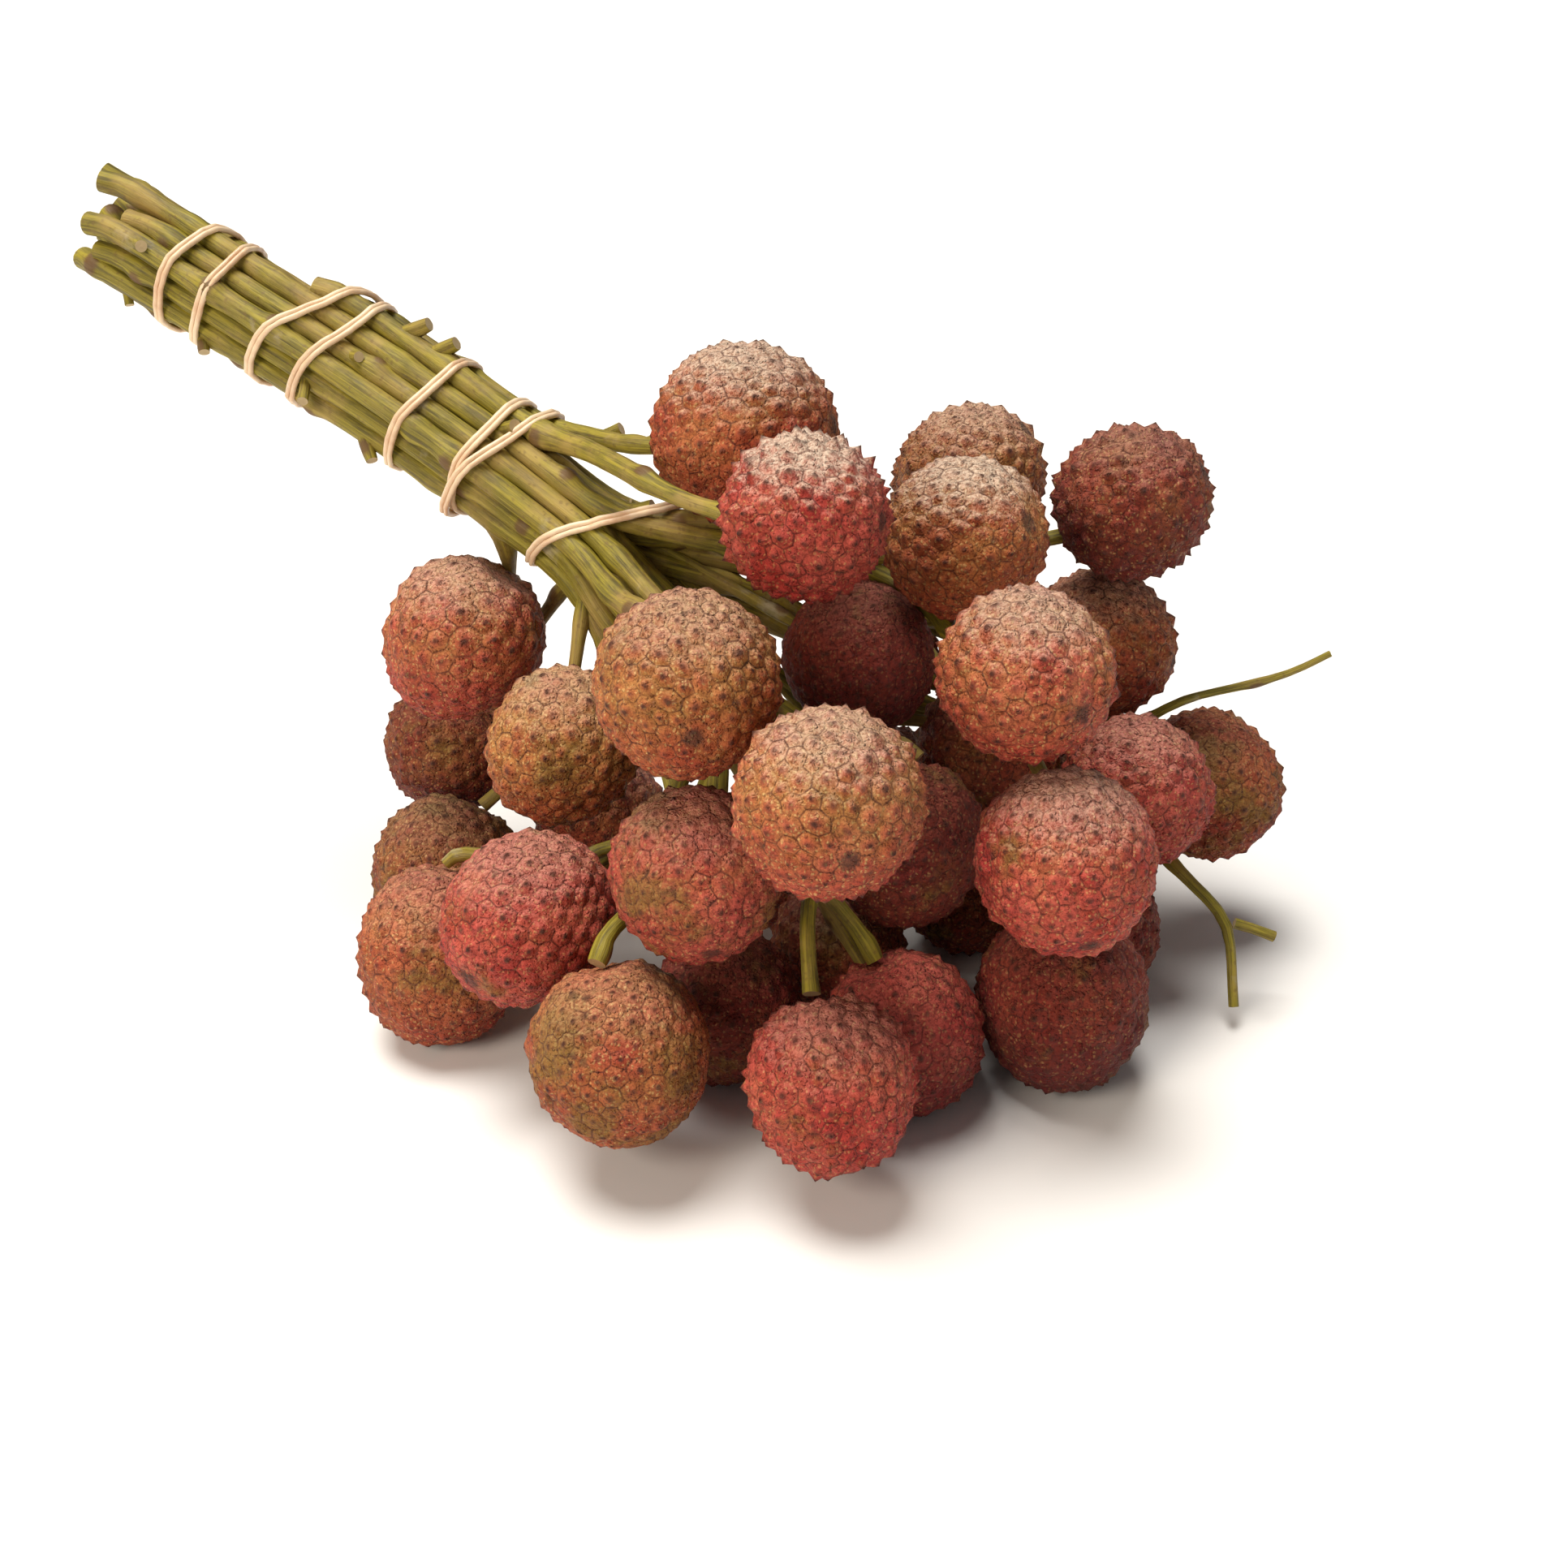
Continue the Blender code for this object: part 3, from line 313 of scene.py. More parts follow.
def skin_tree():
    """One lychee round the origin, its stem end up: a ball of many-sided tubercles with furrows between."""
    number, whole = "NodeSocketFloat", "NodeSocketInt"
    t, given, result = geometry_tree("lychee skin", {
        "Half width": (number, 18.0),
        "Half length": (number, 18.0),
        "Spacing": (number, 3.3),
        "Height": (number, 0.9),
        "Sharpness": (number, 0.5),
        "Shoulder": (number, 0.0),
        "Up": ("NodeSocketVector", (0.0, 0.0, 1.0)),
        "Seed": (whole, 1),
        "Skin": ("NodeSocketMaterial", None),
    })
    ball = t.add("GeometryNodeMeshIcoSphere", Radius=1.0, Subdivisions=4).outputs[0]
    apart = t.math("DIVIDE", given["Spacing"], given["Half width"])
    crowd = t.math("DIVIDE", 14.0, t.math("MULTIPLY", apart, apart))
    spots = t.add("GeometryNodeDistributePointsOnFaces", ball, distribute_method="POISSON")
    t.put(spots.inputs["Distance Min"], apart)
    t.put(spots.inputs["Density Max"], crowd)
    t.put(spots.inputs["Seed"], given["Seed"])
    hull = t.add("GeometryNodeConvexHull", spots.outputs[0]).outputs[0]
    place = t.add("GeometryNodeInputPosition").outputs[0]
    even = t.add("GeometryNodeBlurAttribute", data_type="FLOAT_VECTOR", Value=place, Iterations=1, Weight=0.5)
    round_place = t.vector("NORMALIZE", even.outputs[0])
    settled = t.add("GeometryNodeSetPosition", hull, Position=round_place).outputs[0]
    cells = t.add("GeometryNodeDualMesh", settled).outputs[0]
    chance = t.add("FunctionNodeRandomValue", data_type="FLOAT", Seed=given["Seed"]).outputs[1]
    cells = stored(t, cells, "cell", chance, "FACE")
    raised = t.add("GeometryNodeExtrudeMesh", cells, mode="FACES", Offset_Scale=0.01, Individual=True)
    top = raised.outputs["Top"]
    pinched = t.add("GeometryNodeScaleElements", raised.outputs[0], top, Scale=0.0).outputs[0]
    pinched = stored(t, pinched, "tip", top)
    tipped = t.add("GeometryNodeMergeByDistance", pinched, top, Distance=0.001).outputs[0]
    fine = t.add("GeometryNodeSubdivideMesh", tipped, Level=2).outputs[0]

    ray = t.vector("NORMALIZE", place)
    tip = named_value(t, "tip")
    lift = t.math("MULTIPLY_ADD", named_value(t, "cell"), 0.9, 0.55)
    from_tip = t.math("SUBTRACT", 1.0, tip)
    shield = t.math("SUBTRACT", 1.0, t.math("POWER", from_tip, 3.0))
    plate = tubercle(t, tip, shield, *BLUNT)
    spike = tubercle(t, tip, shield, *SHARP)
    form = t.math("ADD", plate, t.math("MULTIPLY", given["Sharpness"], t.math("SUBTRACT", spike, plate)))

    along = t.add("ShaderNodeSeparateXYZ", ray).outputs[2]
    pole = t.math("ABSOLUTE", along)
    to_pole = t.span(pole, 0.94, 0.995)
    stem_end = t.span(along, 0.90, 1.0)
    calm = t.math("SUBTRACT", 1.0, t.math("MULTIPLY", to_pole, 0.65))
    relief = t.math("MULTIPLY", t.math("MULTIPLY", form, lift), calm)
    swell = t.noise(t.vector("SCALE", ray, scale=1.3), 1.6, 1.0)
    crumple = t.noise(ray, 17.0, 4.0, 0.7)
    height = t.math("MULTIPLY", t.math("MULTIPLY", relief, given["Height"]), HEIGHT_GAIN)
    rise = t.math("ADD", t.math("SUBTRACT", height, given["Height"]), SKIN_RISE)
    rise = t.math("ADD", rise, t.math("MULTIPLY", t.math("SUBTRACT", swell, 0.5), SWELL))
    rise = t.math("ADD", rise, t.math("MULTIPLY", t.math("SUBTRACT", crumple, 0.5), CRUMPLE))
    rise = t.math("SUBTRACT", rise, t.math("MULTIPLY", stem_end, STEM_HOLLOW))
    bulge = t.math("MULTIPLY_ADD", given["Shoulder"], t.math("SINE", t.math("MULTIPLY", along, 1.6)), 1.0)
    wide = t.math("MULTIPLY", given["Half width"], bulge)
    egg = t.add("ShaderNodeCombineXYZ", wide, wide, given["Half length"]).outputs[0]
    body = t.vector("MULTIPLY", ray, egg)
    target = t.vector("ADD", body, t.vector("SCALE", ray, scale=rise))
    shaped = t.add("GeometryNodeSetPosition", fine, Position=t.vector("SCALE", target, scale=MM)).outputs[0]
    outward = t.vector("NORMALIZE", place)
    shaped = stored(t, shaped, "crown", t.vector("DOT_PRODUCT", outward, given["Up"]))
    pole_way = t.add("ShaderNodeSeparateXYZ", outward).outputs[2]
    shaped = stored(t, shaped, "stem", pole_way)
    smooth = t.add("GeometryNodeSetShadeSmooth", shaped).outputs[0]
    real = t.add("GeometryNodeRealizeInstances", smooth).outputs[0]
    painted = t.add("GeometryNodeSetMaterial", real, Material=given["Skin"]).outputs[0]
    t.put(result, painted)
    return t.tree


def corners(node):
    """The corners of a CAD node, in metres."""
    mesh = frame["nodes"][node].data
    found = np.empty(len(mesh.vertices) * 3)
    mesh.vertices.foreach_get("co", found)
    return found.reshape(-1, 3)


def fruit_frames(stalk_nodes):
    """{number: (centre, stem direction, half width, half length)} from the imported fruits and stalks."""
    stalk_corners = np.concatenate([corners(node) for node in stalk_nodes])
    frames = {}
    for node in sorted(frame["nodes"]):
        if not node.startswith("lychee"):
            continue
        points = np.unique(corners(node).round(6), axis=0)
        centre = (points.max(0) + points.min(0)) / 2
        spread = np.linalg.eigh(np.cov((points - centre).T))
        axis = spread[1][:, 2]
        near = {}
        for side in (-1, 1):
            end = centre + side * axis * STEM_REACH
            near[side] = np.linalg.norm(stalk_corners - end, axis=1).min()
        axis = axis * min(near, key=near.get)
        along = (points - centre) @ axis
        across = np.linalg.norm(points - centre - np.outer(along, axis), axis=1)
        frames[int(node[-2:])] = (centre, axis, across.max() / MM, -along.min() / MM)
    return frames


def make_fruit(number, where, tree, slot, skin):
    """The skin of one fruit in place, with its marks as attributes, and level where it rests."""
    centre, axis, half_width, half_length = where
    spacing, height, sharpness, *marks = SKINS.get(number, HIDDEN_SKIN)
    turn = Vector(axis).to_track_quat("Z", "Y").to_matrix() @ Matrix.Rotation(number * TURN_STEP, 3, "Z")
    up = turn.inverted() @ Vector((0, 0, 1))
    node = f"lychee_{number:02d}"
    mesh = grown(node + "_skin", bpy.data.meshes.new("empty"), tree, Half_width=float(half_width),
                 Half_length=float(half_length), Spacing=spacing, Height=height, Sharpness=sharpness,
                 Shoulder=SHOULDERS.get(number, USUAL_SHOULDER), Up=tuple(up),
                 Seed=number * SKIN_SEED_STEP, Skin=skin)
    mesh.transform(Matrix.Translation(centre) @ turn.to_4x4())
    points = np.empty(len(mesh.vertices) * 3, np.float32)
    mesh.vertices.foreach_get("co", points)
    points[2::3] = np.maximum(points[2::3], 0.0)
    mesh.vertices.foreach_set("co", points)
    for name, share in zip(SKIN_MARKS, marks):
        mark = mesh.attributes.new(name, "FLOAT", "POINT")
        mark.data.foreach_set("value", np.full(len(mesh.vertices), share, np.float32))
    mesh.update()
    piece(node + "_skin", mesh, slot, node)


# ---- stalks and bands


def split_mesh(node, longest):
    """A CAD node's corners, joined by edges no longer than this: (places, neighbours of each)."""
    mesh = frame["nodes"][node].data
    mesh.calc_loop_triangles()
    places, index = np.unique(corners(node).round(7), axis=0, return_inverse=True)
    index = index.reshape(-1)
    places = [place for place in places]
    waiting = [tuple(int(index[k]) for k in triangle.vertices) for triangle in mesh.loop_triangles]
    middles = {}
    beside = {}
    while waiting:
        triangle = waiting.pop()
        sides = [(triangle[k], triangle[(k + 1) % 3], triangle[(k + 2) % 3]) for k in range(3)]
        first, second, far = max(sides, key=lambda side: np.sum((places[side[0]] - places[side[1]]) ** 2))
        if np.sum((places[first] - places[second]) ** 2) <= longest**2:
            for start, end, _ in sides:
                beside.setdefault(start, set()).add(end)
                beside.setdefault(end, set()).add(start)
            continue
        key = (min(first, second), max(first, second))
        if key not in middles:
            middles[key] = len(places)
            places.append((places[first] + places[second]) / 2)
        waiting.append((first, middles[key], far))
        waiting.append((middles[key], second, far))
    return np.array(places), [sorted(beside.get(k, ())) for k in range(len(places))]


def surface_distance(places, beside, first):
    """How far each corner is from the first one along the surface."""
    away = np.full(len(places), np.inf)
    away[first] = 0.0
    waiting = [(0.0, first)]
    while waiting:
        so_far, here = heapq.heappop(waiting)
        if so_far > away[here]:
            continue
        for there in beside[here]:
            reach = so_far + np.linalg.norm(places[there] - places[here])
            if reach < away[there]:
                away[there] = reach
                heapq.heappush(waiting, (reach, there))
    return away


def slices(node, first_way, step):
    """A tube node cut across into slices: the corners of each, and which slices touch."""
    places, beside = split_mesh(node, step * 0.5)
    first = int(np.argmax(places @ np.array(first_way)))
    away = surface_distance(places, beside, first)
    away[np.isinf(away)] = 0.0
    level = (away / step).astype(int)
    slice_of = np.full(len(places), -1)
    members = []
    for start in range(len(places)):
        if slice_of[start] >= 0 or not beside[start]:
            continue
        slice_of[start] = len(members)
        found = [start]
        for here in found:
            for there in beside[here]:
                if slice_of[there] < 0 and level[there] == level[here]:
                    slice_of[there] = len(members)
                    found.append(there)
        members.append(found)
    touching = [set() for _ in members]
    for here, others in enumerate(beside):
        for there in others:
            if slice_of[here] != slice_of[there]:
                touching[slice_of[here]].add(int(slice_of[there]))
    return [places[found] for found in members], touching, int(slice_of[first])


def smoothed(points, rounds=3):
    points = points.copy()
    for _ in range(rounds):
        points[1:-1] = (points[:-2] + 2 * points[1:-1] + points[2:]) / 4
    return points


def resampled(points, step):
    """The same broken line with a point every step along it."""
    run = np.concatenate([[0], np.cumsum(np.linalg.norm(np.diff(points, axis=0), axis=1))])
    places = np.linspace(0, run[-1], max(3, int(run[-1] / step) + 1))
    return np.stack([np.interp(places, run, points[:, axis]) for axis in range(3)], axis=1)


def stalk_lines(node):
    """Centre lines of a stalk and its branches, from the cut end outwards: [(points, radii)], in metres."""
    members, touching, root = slices(node, SHEAF_WAY, SLICE)
    centres = np.array([found.mean(0) for found in members])
    parent = {root: None}
    order = [root]
    for here in order:
        for there in sorted(touching[here], key=lambda other: -len(members[other])):
            if there not in parent and len(members[there]) >= SMALLEST_SLICE:
                parent[there] = here
                order.append(there)
    depth = {}
    for here in reversed(order):
        nexts = [there for there in order if parent[there] == here]
        depth[here] = 1 + max((depth[there] for there in nexts), default=0)
    lines = []
    waiting = [(None, root)]
    while waiting:
        before, here = waiting.pop()
        line = [here] if before is None else [before, here]
        while True:
            nexts = [there for there in order if parent[there] == line[-1]]
            nexts.sort(key=lambda there: -depth[there])
            if not nexts:
                break
            waiting.extend((line[-1], there) for there in nexts[1:] if depth[there] >= 2)
            line.append(nexts[0])
        points = centres[line]
        ways = np.gradient(points, axis=0)
        ways /= np.linalg.norm(ways, axis=1)[:, None] + 1e-12
        radii = []
        for place, way in zip(line, ways):
            offsets = members[place] - centres[place]
            offsets = offsets - np.outer(offsets @ way, way)
            radii.append(np.percentile(np.linalg.norm(offsets, axis=1), 80))
        if before is not None:
            radii[0] = radii[min(3, len(radii) - 1)]
        radii = np.minimum.accumulate(np.array(radii)) * ROUNDNESS
        points = smoothed(points)
        first, last = members[line[0]], members[line[-1]]
        if before is None:
            points[0] += ways[0] * ((first - points[0]) @ ways[0]).min()
        points[-1] += ways[-1] * ((last - points[-1]) @ ways[-1]).max()
        lines.append((points, radii))
    return lines


def band_line(node):
    """The closed centre line of a band, and at each point the way across its flat width."""
    members, touching, first = slices(node, SHEAF_WAY, SLICE * BAND_SLICE)
    centres = np.array([found.mean(0) for found in members])
    loop = [first]
    while True:
        onward = [there for there in touching[loop[-1]] if there not in loop and len(members[there]) > 3]
        if not onward:
            break
        loop.append(max(onward, key=lambda there: len(members[there])))
    points = centres[loop]
    ways = np.roll(points, -1, 0) - np.roll(points, 1, 0)
    ways /= np.linalg.norm(ways, axis=1)[:, None]
    across = []
    for place, way in zip(loop, ways):
        offsets = members[place] - centres[place]
        offsets = offsets - np.outer(offsets @ way, way)
        side = np.linalg.svd(offsets)[2][0]
        if across and side @ across[-1] < 0:
            side = -side
        across.append(side)
    return points, np.array(across)


def line_mesh(name, lines, closed=False):
    """Open or closed lines as a mesh of edges, each point with its radius as the attribute thick."""
    mesh = bpy.data.meshes.new(name)
    places, edges, thick = [], [], []
    for points, radii in lines:
        start = len(places)
        places.extend(map(tuple, points))
        thick.extend(radii)
        edges.extend((start + k, start + k + 1) for k in range(len(points) - 1))
        if closed:
            edges.append((start + len(points) - 1, start))
    mesh.from_pydata(places, edges, [])
    mark = mesh.attributes.new("thick", "FLOAT", "POINT")
    mark.data.foreach_set("value", np.array(thick, np.float32))
    return mesh


def stalk_tree():
    """Bark-covered stalks along lines: swollen knots with a leaf scar on one side, ridges and cut ends."""
    number = "NodeSocketFloat"
    t, given, result = geometry_tree("stalk bark", {
        "Sides": ("NodeSocketInt", 16),
        "Step": (number, 0.0009),
        "Knot spacing": (number, 0.030),
        "Knot swell": (number, 0.30),
        "Ridge": (number, 0.00016),
        "Seed": (number, 0.0),
        "Bark": ("NodeSocketMaterial", None),
    })
    line = t.add("GeometryNodeMeshToCurve", given["Geometry"]).outputs[0]
    line = t.add("GeometryNodeResampleCurve", line, mode="LENGTH", Length=given["Step"]).outputs[0]
    run = t.add("GeometryNodeSplineParameter").outputs["Length"]
    line = stored(t, line, "along", run)
    knot_place = t.math("ADD", t.math("DIVIDE", run, given["Knot spacing"]), given["Seed"])
    knots = t.add("ShaderNodeTexVoronoi", voronoi_dimensions="1D", W=knot_place, Scale=1.0, Randomness=0.8)
    line = stored(t, line, "knot", t.span(knots.outputs["Distance"], 0.0, 0.14, 1.0, 0.0))
    line = stored(t, line, "knot_wide", t.span(knots.outputs["Distance"], 0.0, 0.3, 1.0, 0.0))
    line = stored(t, line, "knot_side", t.add("ShaderNodeSeparateXYZ", knots.outputs["Color"]).outputs[0])
    ring = t.add("GeometryNodeCurvePrimitiveCircle", Radius=1.0, Resolution=given["Sides"]).outputs[0]
    turn = t.add("GeometryNodeSplineParameter").outputs["Factor"]
    ring = stored(t, ring, "around", turn)
    thick = named_value(t, "thick")
    tube = t.add("GeometryNodeCurveToMesh", line, ring, Scale=thick, Fill_Caps=True).outputs[0]
    faces = t.add("GeometryNodeInputMeshFaceNeighbors").outputs["Vertex Count"]
    tube = stored(t, tube, "cut", t.math("GREATER_THAN", faces, 4.5), "FACE")
    angle = t.math("MULTIPLY", named_value(t, "around"), math.tau)
    side = t.math("SUBTRACT", angle, t.math("MULTIPLY", named_value(t, "knot_side"), 4 * math.tau))
    lean = t.span(t.math("COSINE", side), 0.0, 1.0)
    knot = t.math("MULTIPLY", named_value(t, "knot"), t.math("MULTIPLY_ADD", lean, 0.8, 0.3))
    wide_knot = t.math("MULTIPLY", named_value(t, "knot_wide"), 0.35)
    swell = t.math("MULTIPLY", t.math("ADD", knot, wide_knot), given["Knot swell"])
    swell = t.math("MULTIPLY", swell, thick)
    across = t.math("MULTIPLY", t.math("COSINE", angle), 1.6)
    up = t.math("MULTIPLY", t.math("SINE", angle), 1.6)
    onward = t.math("ADD", t.math("MULTIPLY", named_value(t, "along"), 60.0), given["Seed"])
    bark_place = t.add("ShaderNodeCombineXYZ", across, up, onward).outputs[0]
    ridges = t.math("MULTIPLY", t.math("SUBTRACT", t.noise(bark_place, 1.6, 3.0, 0.6), 0.5), 2.0)
    lump = t.math("ADD", swell, t.math("MULTIPLY", ridges, given["Ridge"]))
    way = t.add("GeometryNodeInputNormal").outputs[0]
    tube = t.add("GeometryNodeSetPosition", tube, Offset=t.vector("SCALE", way, scale=lump)).outputs[0]
    tube = stored(t, tube, "scar", t.math("MULTIPLY", named_value(t, "knot"), lean))
    smooth = t.add("GeometryNodeSetShadeSmooth", tube).outputs[0]
    real = t.add("GeometryNodeRealizeInstances", smooth).outputs[0]
    t.put(result, t.add("GeometryNodeSetMaterial", real, Material=given["Bark"]).outputs[0])
    return t.tree


def band_tree():
    """Latex strands along closed lines, with shallow lengthwise unevenness."""
    number = "NodeSocketFloat"
    t, given, result = geometry_tree("latex strand", {
        "Step": (number, 0.0007),
        "Unevenness": (number, 0.00012),
        "Latex": ("NodeSocketMaterial", None),
    })
    line = t.add("GeometryNodeMeshToCurve", given["Geometry"]).outputs[0]
    line = t.add("GeometryNodeResampleCurve", line, mode="LENGTH", Length=given["Step"]).outputs[0]
    ring = t.add("GeometryNodeCurvePrimitiveCircle", Radius=1.0, Resolution=10).outputs[0]
    tube = t.add("GeometryNodeCurveToMesh", line, ring, Scale=named_value(t, "thick")).outputs[0]
    place = t.add("GeometryNodeInputPosition").outputs[0]
    way = t.add("GeometryNodeInputNormal").outputs[0]
    uneven = t.math("MULTIPLY", t.math("SUBTRACT", t.noise(place, 420.0, 2.0), 0.5), 2.0)
    push = t.vector("SCALE", way, scale=t.math("MULTIPLY", uneven, given["Unevenness"]))
    tube = t.add("GeometryNodeSetPosition", tube, Offset=push).outputs[0]
    smooth = t.add("GeometryNodeSetShadeSmooth", tube).outputs[0]
    real = t.add("GeometryNodeRealizeInstances", smooth).outputs[0]
    t.put(result, t.add("GeometryNodeSetMaterial", real, Material=given["Latex"]).outputs[0])
    return t.tree


def stub_lines(mains, chance):
    """Short cut side shoots on the outside of the sheaf: {stalk number: [(points, radii)]}."""
    way = np.array(SHEAF_WAY) / np.linalg.norm(SHEAF_WAY)
    every = np.concatenate([points for points, _ in mains])
    found = {}
    for number, (points, radii) in enumerate(mains):
        spots = [k for k in range(3, len(points) - 1) if points[k] @ way > mains[0][0][0] @ way - STUB_REACH]
        for spot in chance.sample(spots, min(2, len(spots))):
            base = points[spot]
            level = every[np.abs((every - base) @ way) < STUB_SLAB]
            outward = base - level.mean(0)
            outward -= way * (outward @ way)
            if np.linalg.norm(outward) < STUB_OUTSIDE:
                continue
            outward /= np.linalg.norm(outward)
            turn = -way * chance.uniform(0.6, 1.6) + outward * chance.uniform(0.5, 0.9)
            turn /= np.linalg.norm(turn)
            length = chance.uniform(*STUB_LENGTH)
            steps = np.linspace(0, 1, 4)[:, None]
            line = base + turn * length * steps + outward * 0.0012 * steps**2
            found.setdefault(number, []).append((line, np.full(4, chance.uniform(*STUB_RADIUS))))
    return found


def loose_line(number, turn, radius):
    """A line from the middle of the neck band to a fruit, bent round every other fruit in its way."""
    boxes = {node: np.array(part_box(node)) for node in frame["nodes"] if node.startswith("lychee")}
    way = np.array(SHEAF_WAY) / np.linalg.norm(SHEAF_WAY)
    side = np.cross(way, (0, 0, 1))
    side /= np.linalg.norm(side)
    spread = (math.cos(turn) * side + math.sin(turn) * np.cross(side, way)) * NECK_SPREAD
    start = np.array(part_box("band_neck")).mean(0) + spread
    low, high = boxes.pop(f"lychee_{number:02d}")
    centre, reach = (low + high) / 2, (high - low).min() / 2
    goal = centre + (start - centre) / np.linalg.norm(start - centre) * reach * 0.9
    line = np.linspace(start, goal, LOOSE_POINTS)
    for step in range(LOOSE_ROUNDS):
        for low, high in boxes.values():
            away = line - (low + high) / 2
            gap = np.linalg.norm(away, axis=1)[:, None]
            need = (high - low).max() / 2 + radius + FRUIT_ROOM
            line[1:-1] += (away / gap * np.clip(need - gap, 0, None))[1:-1]
        if step < LOOSE_SMOOTH_ROUNDS:
            line = smoothed(line, 1)
    return line


def make_stalks(stalk_nodes, tree, bark):
    """Every stalk as bark over its own CAD centre lines, with stubs of cut side shoots, and loose stalks."""
    chance = random.Random(STUB_SEED)
    lines = [stalk_lines(node) for node in stalk_nodes]
    stubs = stub_lines([found[0] for found in lines], chance)
    for number, node in enumerate(stalk_nodes):
        whole = line_mesh(node + "_line", lines[number] + stubs.get(number, []))
        mesh = grown(node + "_bark", whole, tree, Seed=number * BARK_SEED_STEP, Bark=bark)
        piece(node + "_bark", mesh, "stalk_bark", node)
    for number, (fruit, radius) in enumerate(LOOSE_STALKS):
        points = resampled(loose_line(fruit, number * TURN_STEP, radius * MM), SLICE)
        radii = np.linspace(radius, radius * TAPER, len(points)) * MM
        name = f"loose_stalk_{number + 1}"
        line = line_mesh(name + "_line", [(points, radii)])
        mesh = grown(name, line, tree, Seed=LOOSE_SEED + number * LOOSE_SEED_STEP, Bark=bark)
        piece(name, mesh, "stalk_bark")


def make_bands(tree, latex):
    """Each band as two thin strands lying side by side."""
    for node in sorted(node for node in frame["nodes"] if node.startswith("band")):
        points, across = band_line(node)
        radii = np.full(len(points), STRAND)
        strands = [(points + across * STRAND * side * STRAND_APART, radii) for side in (-1, 1)]
        mesh = grown(node + "_strands", line_mesh(node + "_line", strands, closed=True), tree, Latex=latex)
        piece(node + "_strands", mesh, "band_rubber", node)


# ---- materials


def shader_group(name, inputs, outputs):
    """An empty shader node group with named inputs {name: default} and outputs {name: socket type}."""
    tree = bpy.data.node_groups.new(name, "ShaderNodeTree")
    for key, default in inputs.items():
        kind = "NodeSocketVector" if default is None else "NodeSocketFloat"
        socket = tree.interface.new_socket(key, in_out="INPUT", socket_type=kind)
        if default is not None:
            socket.default_value = default
    for key, kind in outputs.items():
        tree.interface.new_socket(key, in_out="OUTPUT", socket_type=kind)
    return Tree(tree), tree.nodes.new("NodeGroupInput").outputs, tree.nodes.new("NodeGroupOutput").inputs


def mottle_group():
    """Soft-edged irregular patches: a mask of the share of the surface that they take."""
    t, given, result = shader_group(
        "mottle", {"Place": None, "Scale": 100.0, "Share": 0.5, "Softness": 0.1}, {"Mask": "NodeSocketFloat"})
    cloud = t.noise(given["Place"], given["Scale"], 5.0, 0.62)
    edge = t.math("MULTIPLY_ADD", given["Share"], -0.45, 0.74)
    low = t.math("SUBTRACT", edge, given["Softness"])
    high = t.math("ADD", edge, given["Softness"])
    t.put(result["Mask"], t.span(cloud, low, high))
    return t.tree


def flecks_group():
    """Small scattered flecks, with a height for a bump."""
    number = "NodeSocketFloat"
    t, given, result = shader_group(
        "flecks", {"Place": None, "Scale": 900.0, "Share": 0.3}, {"Mask": number, "Height": number})
    drift = t.add("ShaderNodeTexNoise", Vector=given["Place"], Scale=700.0, Detail=2.0).outputs["Color"]
    bent = t.vector("ADD", given["Place"], t.vector("SCALE", drift, scale=0.0012))
    cells = t.add("ShaderNodeTexVoronoi", Vector=bent, Scale=given["Scale"], feature="F1")
    near = t.span(cells.outputs["Distance"], 0.15, 0.55, 1.0, 0.0)
    pick = t.add("ShaderNodeSeparateColor", cells.outputs["Color"]).outputs[0]
    chosen = t.math("LESS_THAN", pick, given["Share"])
    t.put(result["Mask"], t.math("MULTIPLY", near, chosen))
    t.put(result["Height"], t.math("MULTIPLY", near, pick))
    return t.tree


def attribute(t, name):
    return t.add("ShaderNodeAttribute", attribute_name=name).outputs["Fac"]


def part_of(t, mask, share):
    """A mask taken at this share of its strength."""
    return t.math("MULTIPLY", mask, share)


def new_material(name, roughness, specular=0.5):
    material = bpy.data.materials.new(name)
    material.use_nodes = True
    t = Tree(material.node_tree)
    shader = material.node_tree.nodes["Principled BSDF"]
    shader.inputs["Roughness"].default_value = roughness
    shader.inputs["Specular IOR Level"].default_value = specular
    place = t.add("ShaderNodeTexCoord").outputs["Object"]
    return material, t, shader, place


def used(t, group, **inputs):
    node = t.tree.nodes.new("ShaderNodeGroup")
    node.node_tree = group
    for key, value in inputs.items():
        t.put(node.inputs[key], value)
    return node.outputs


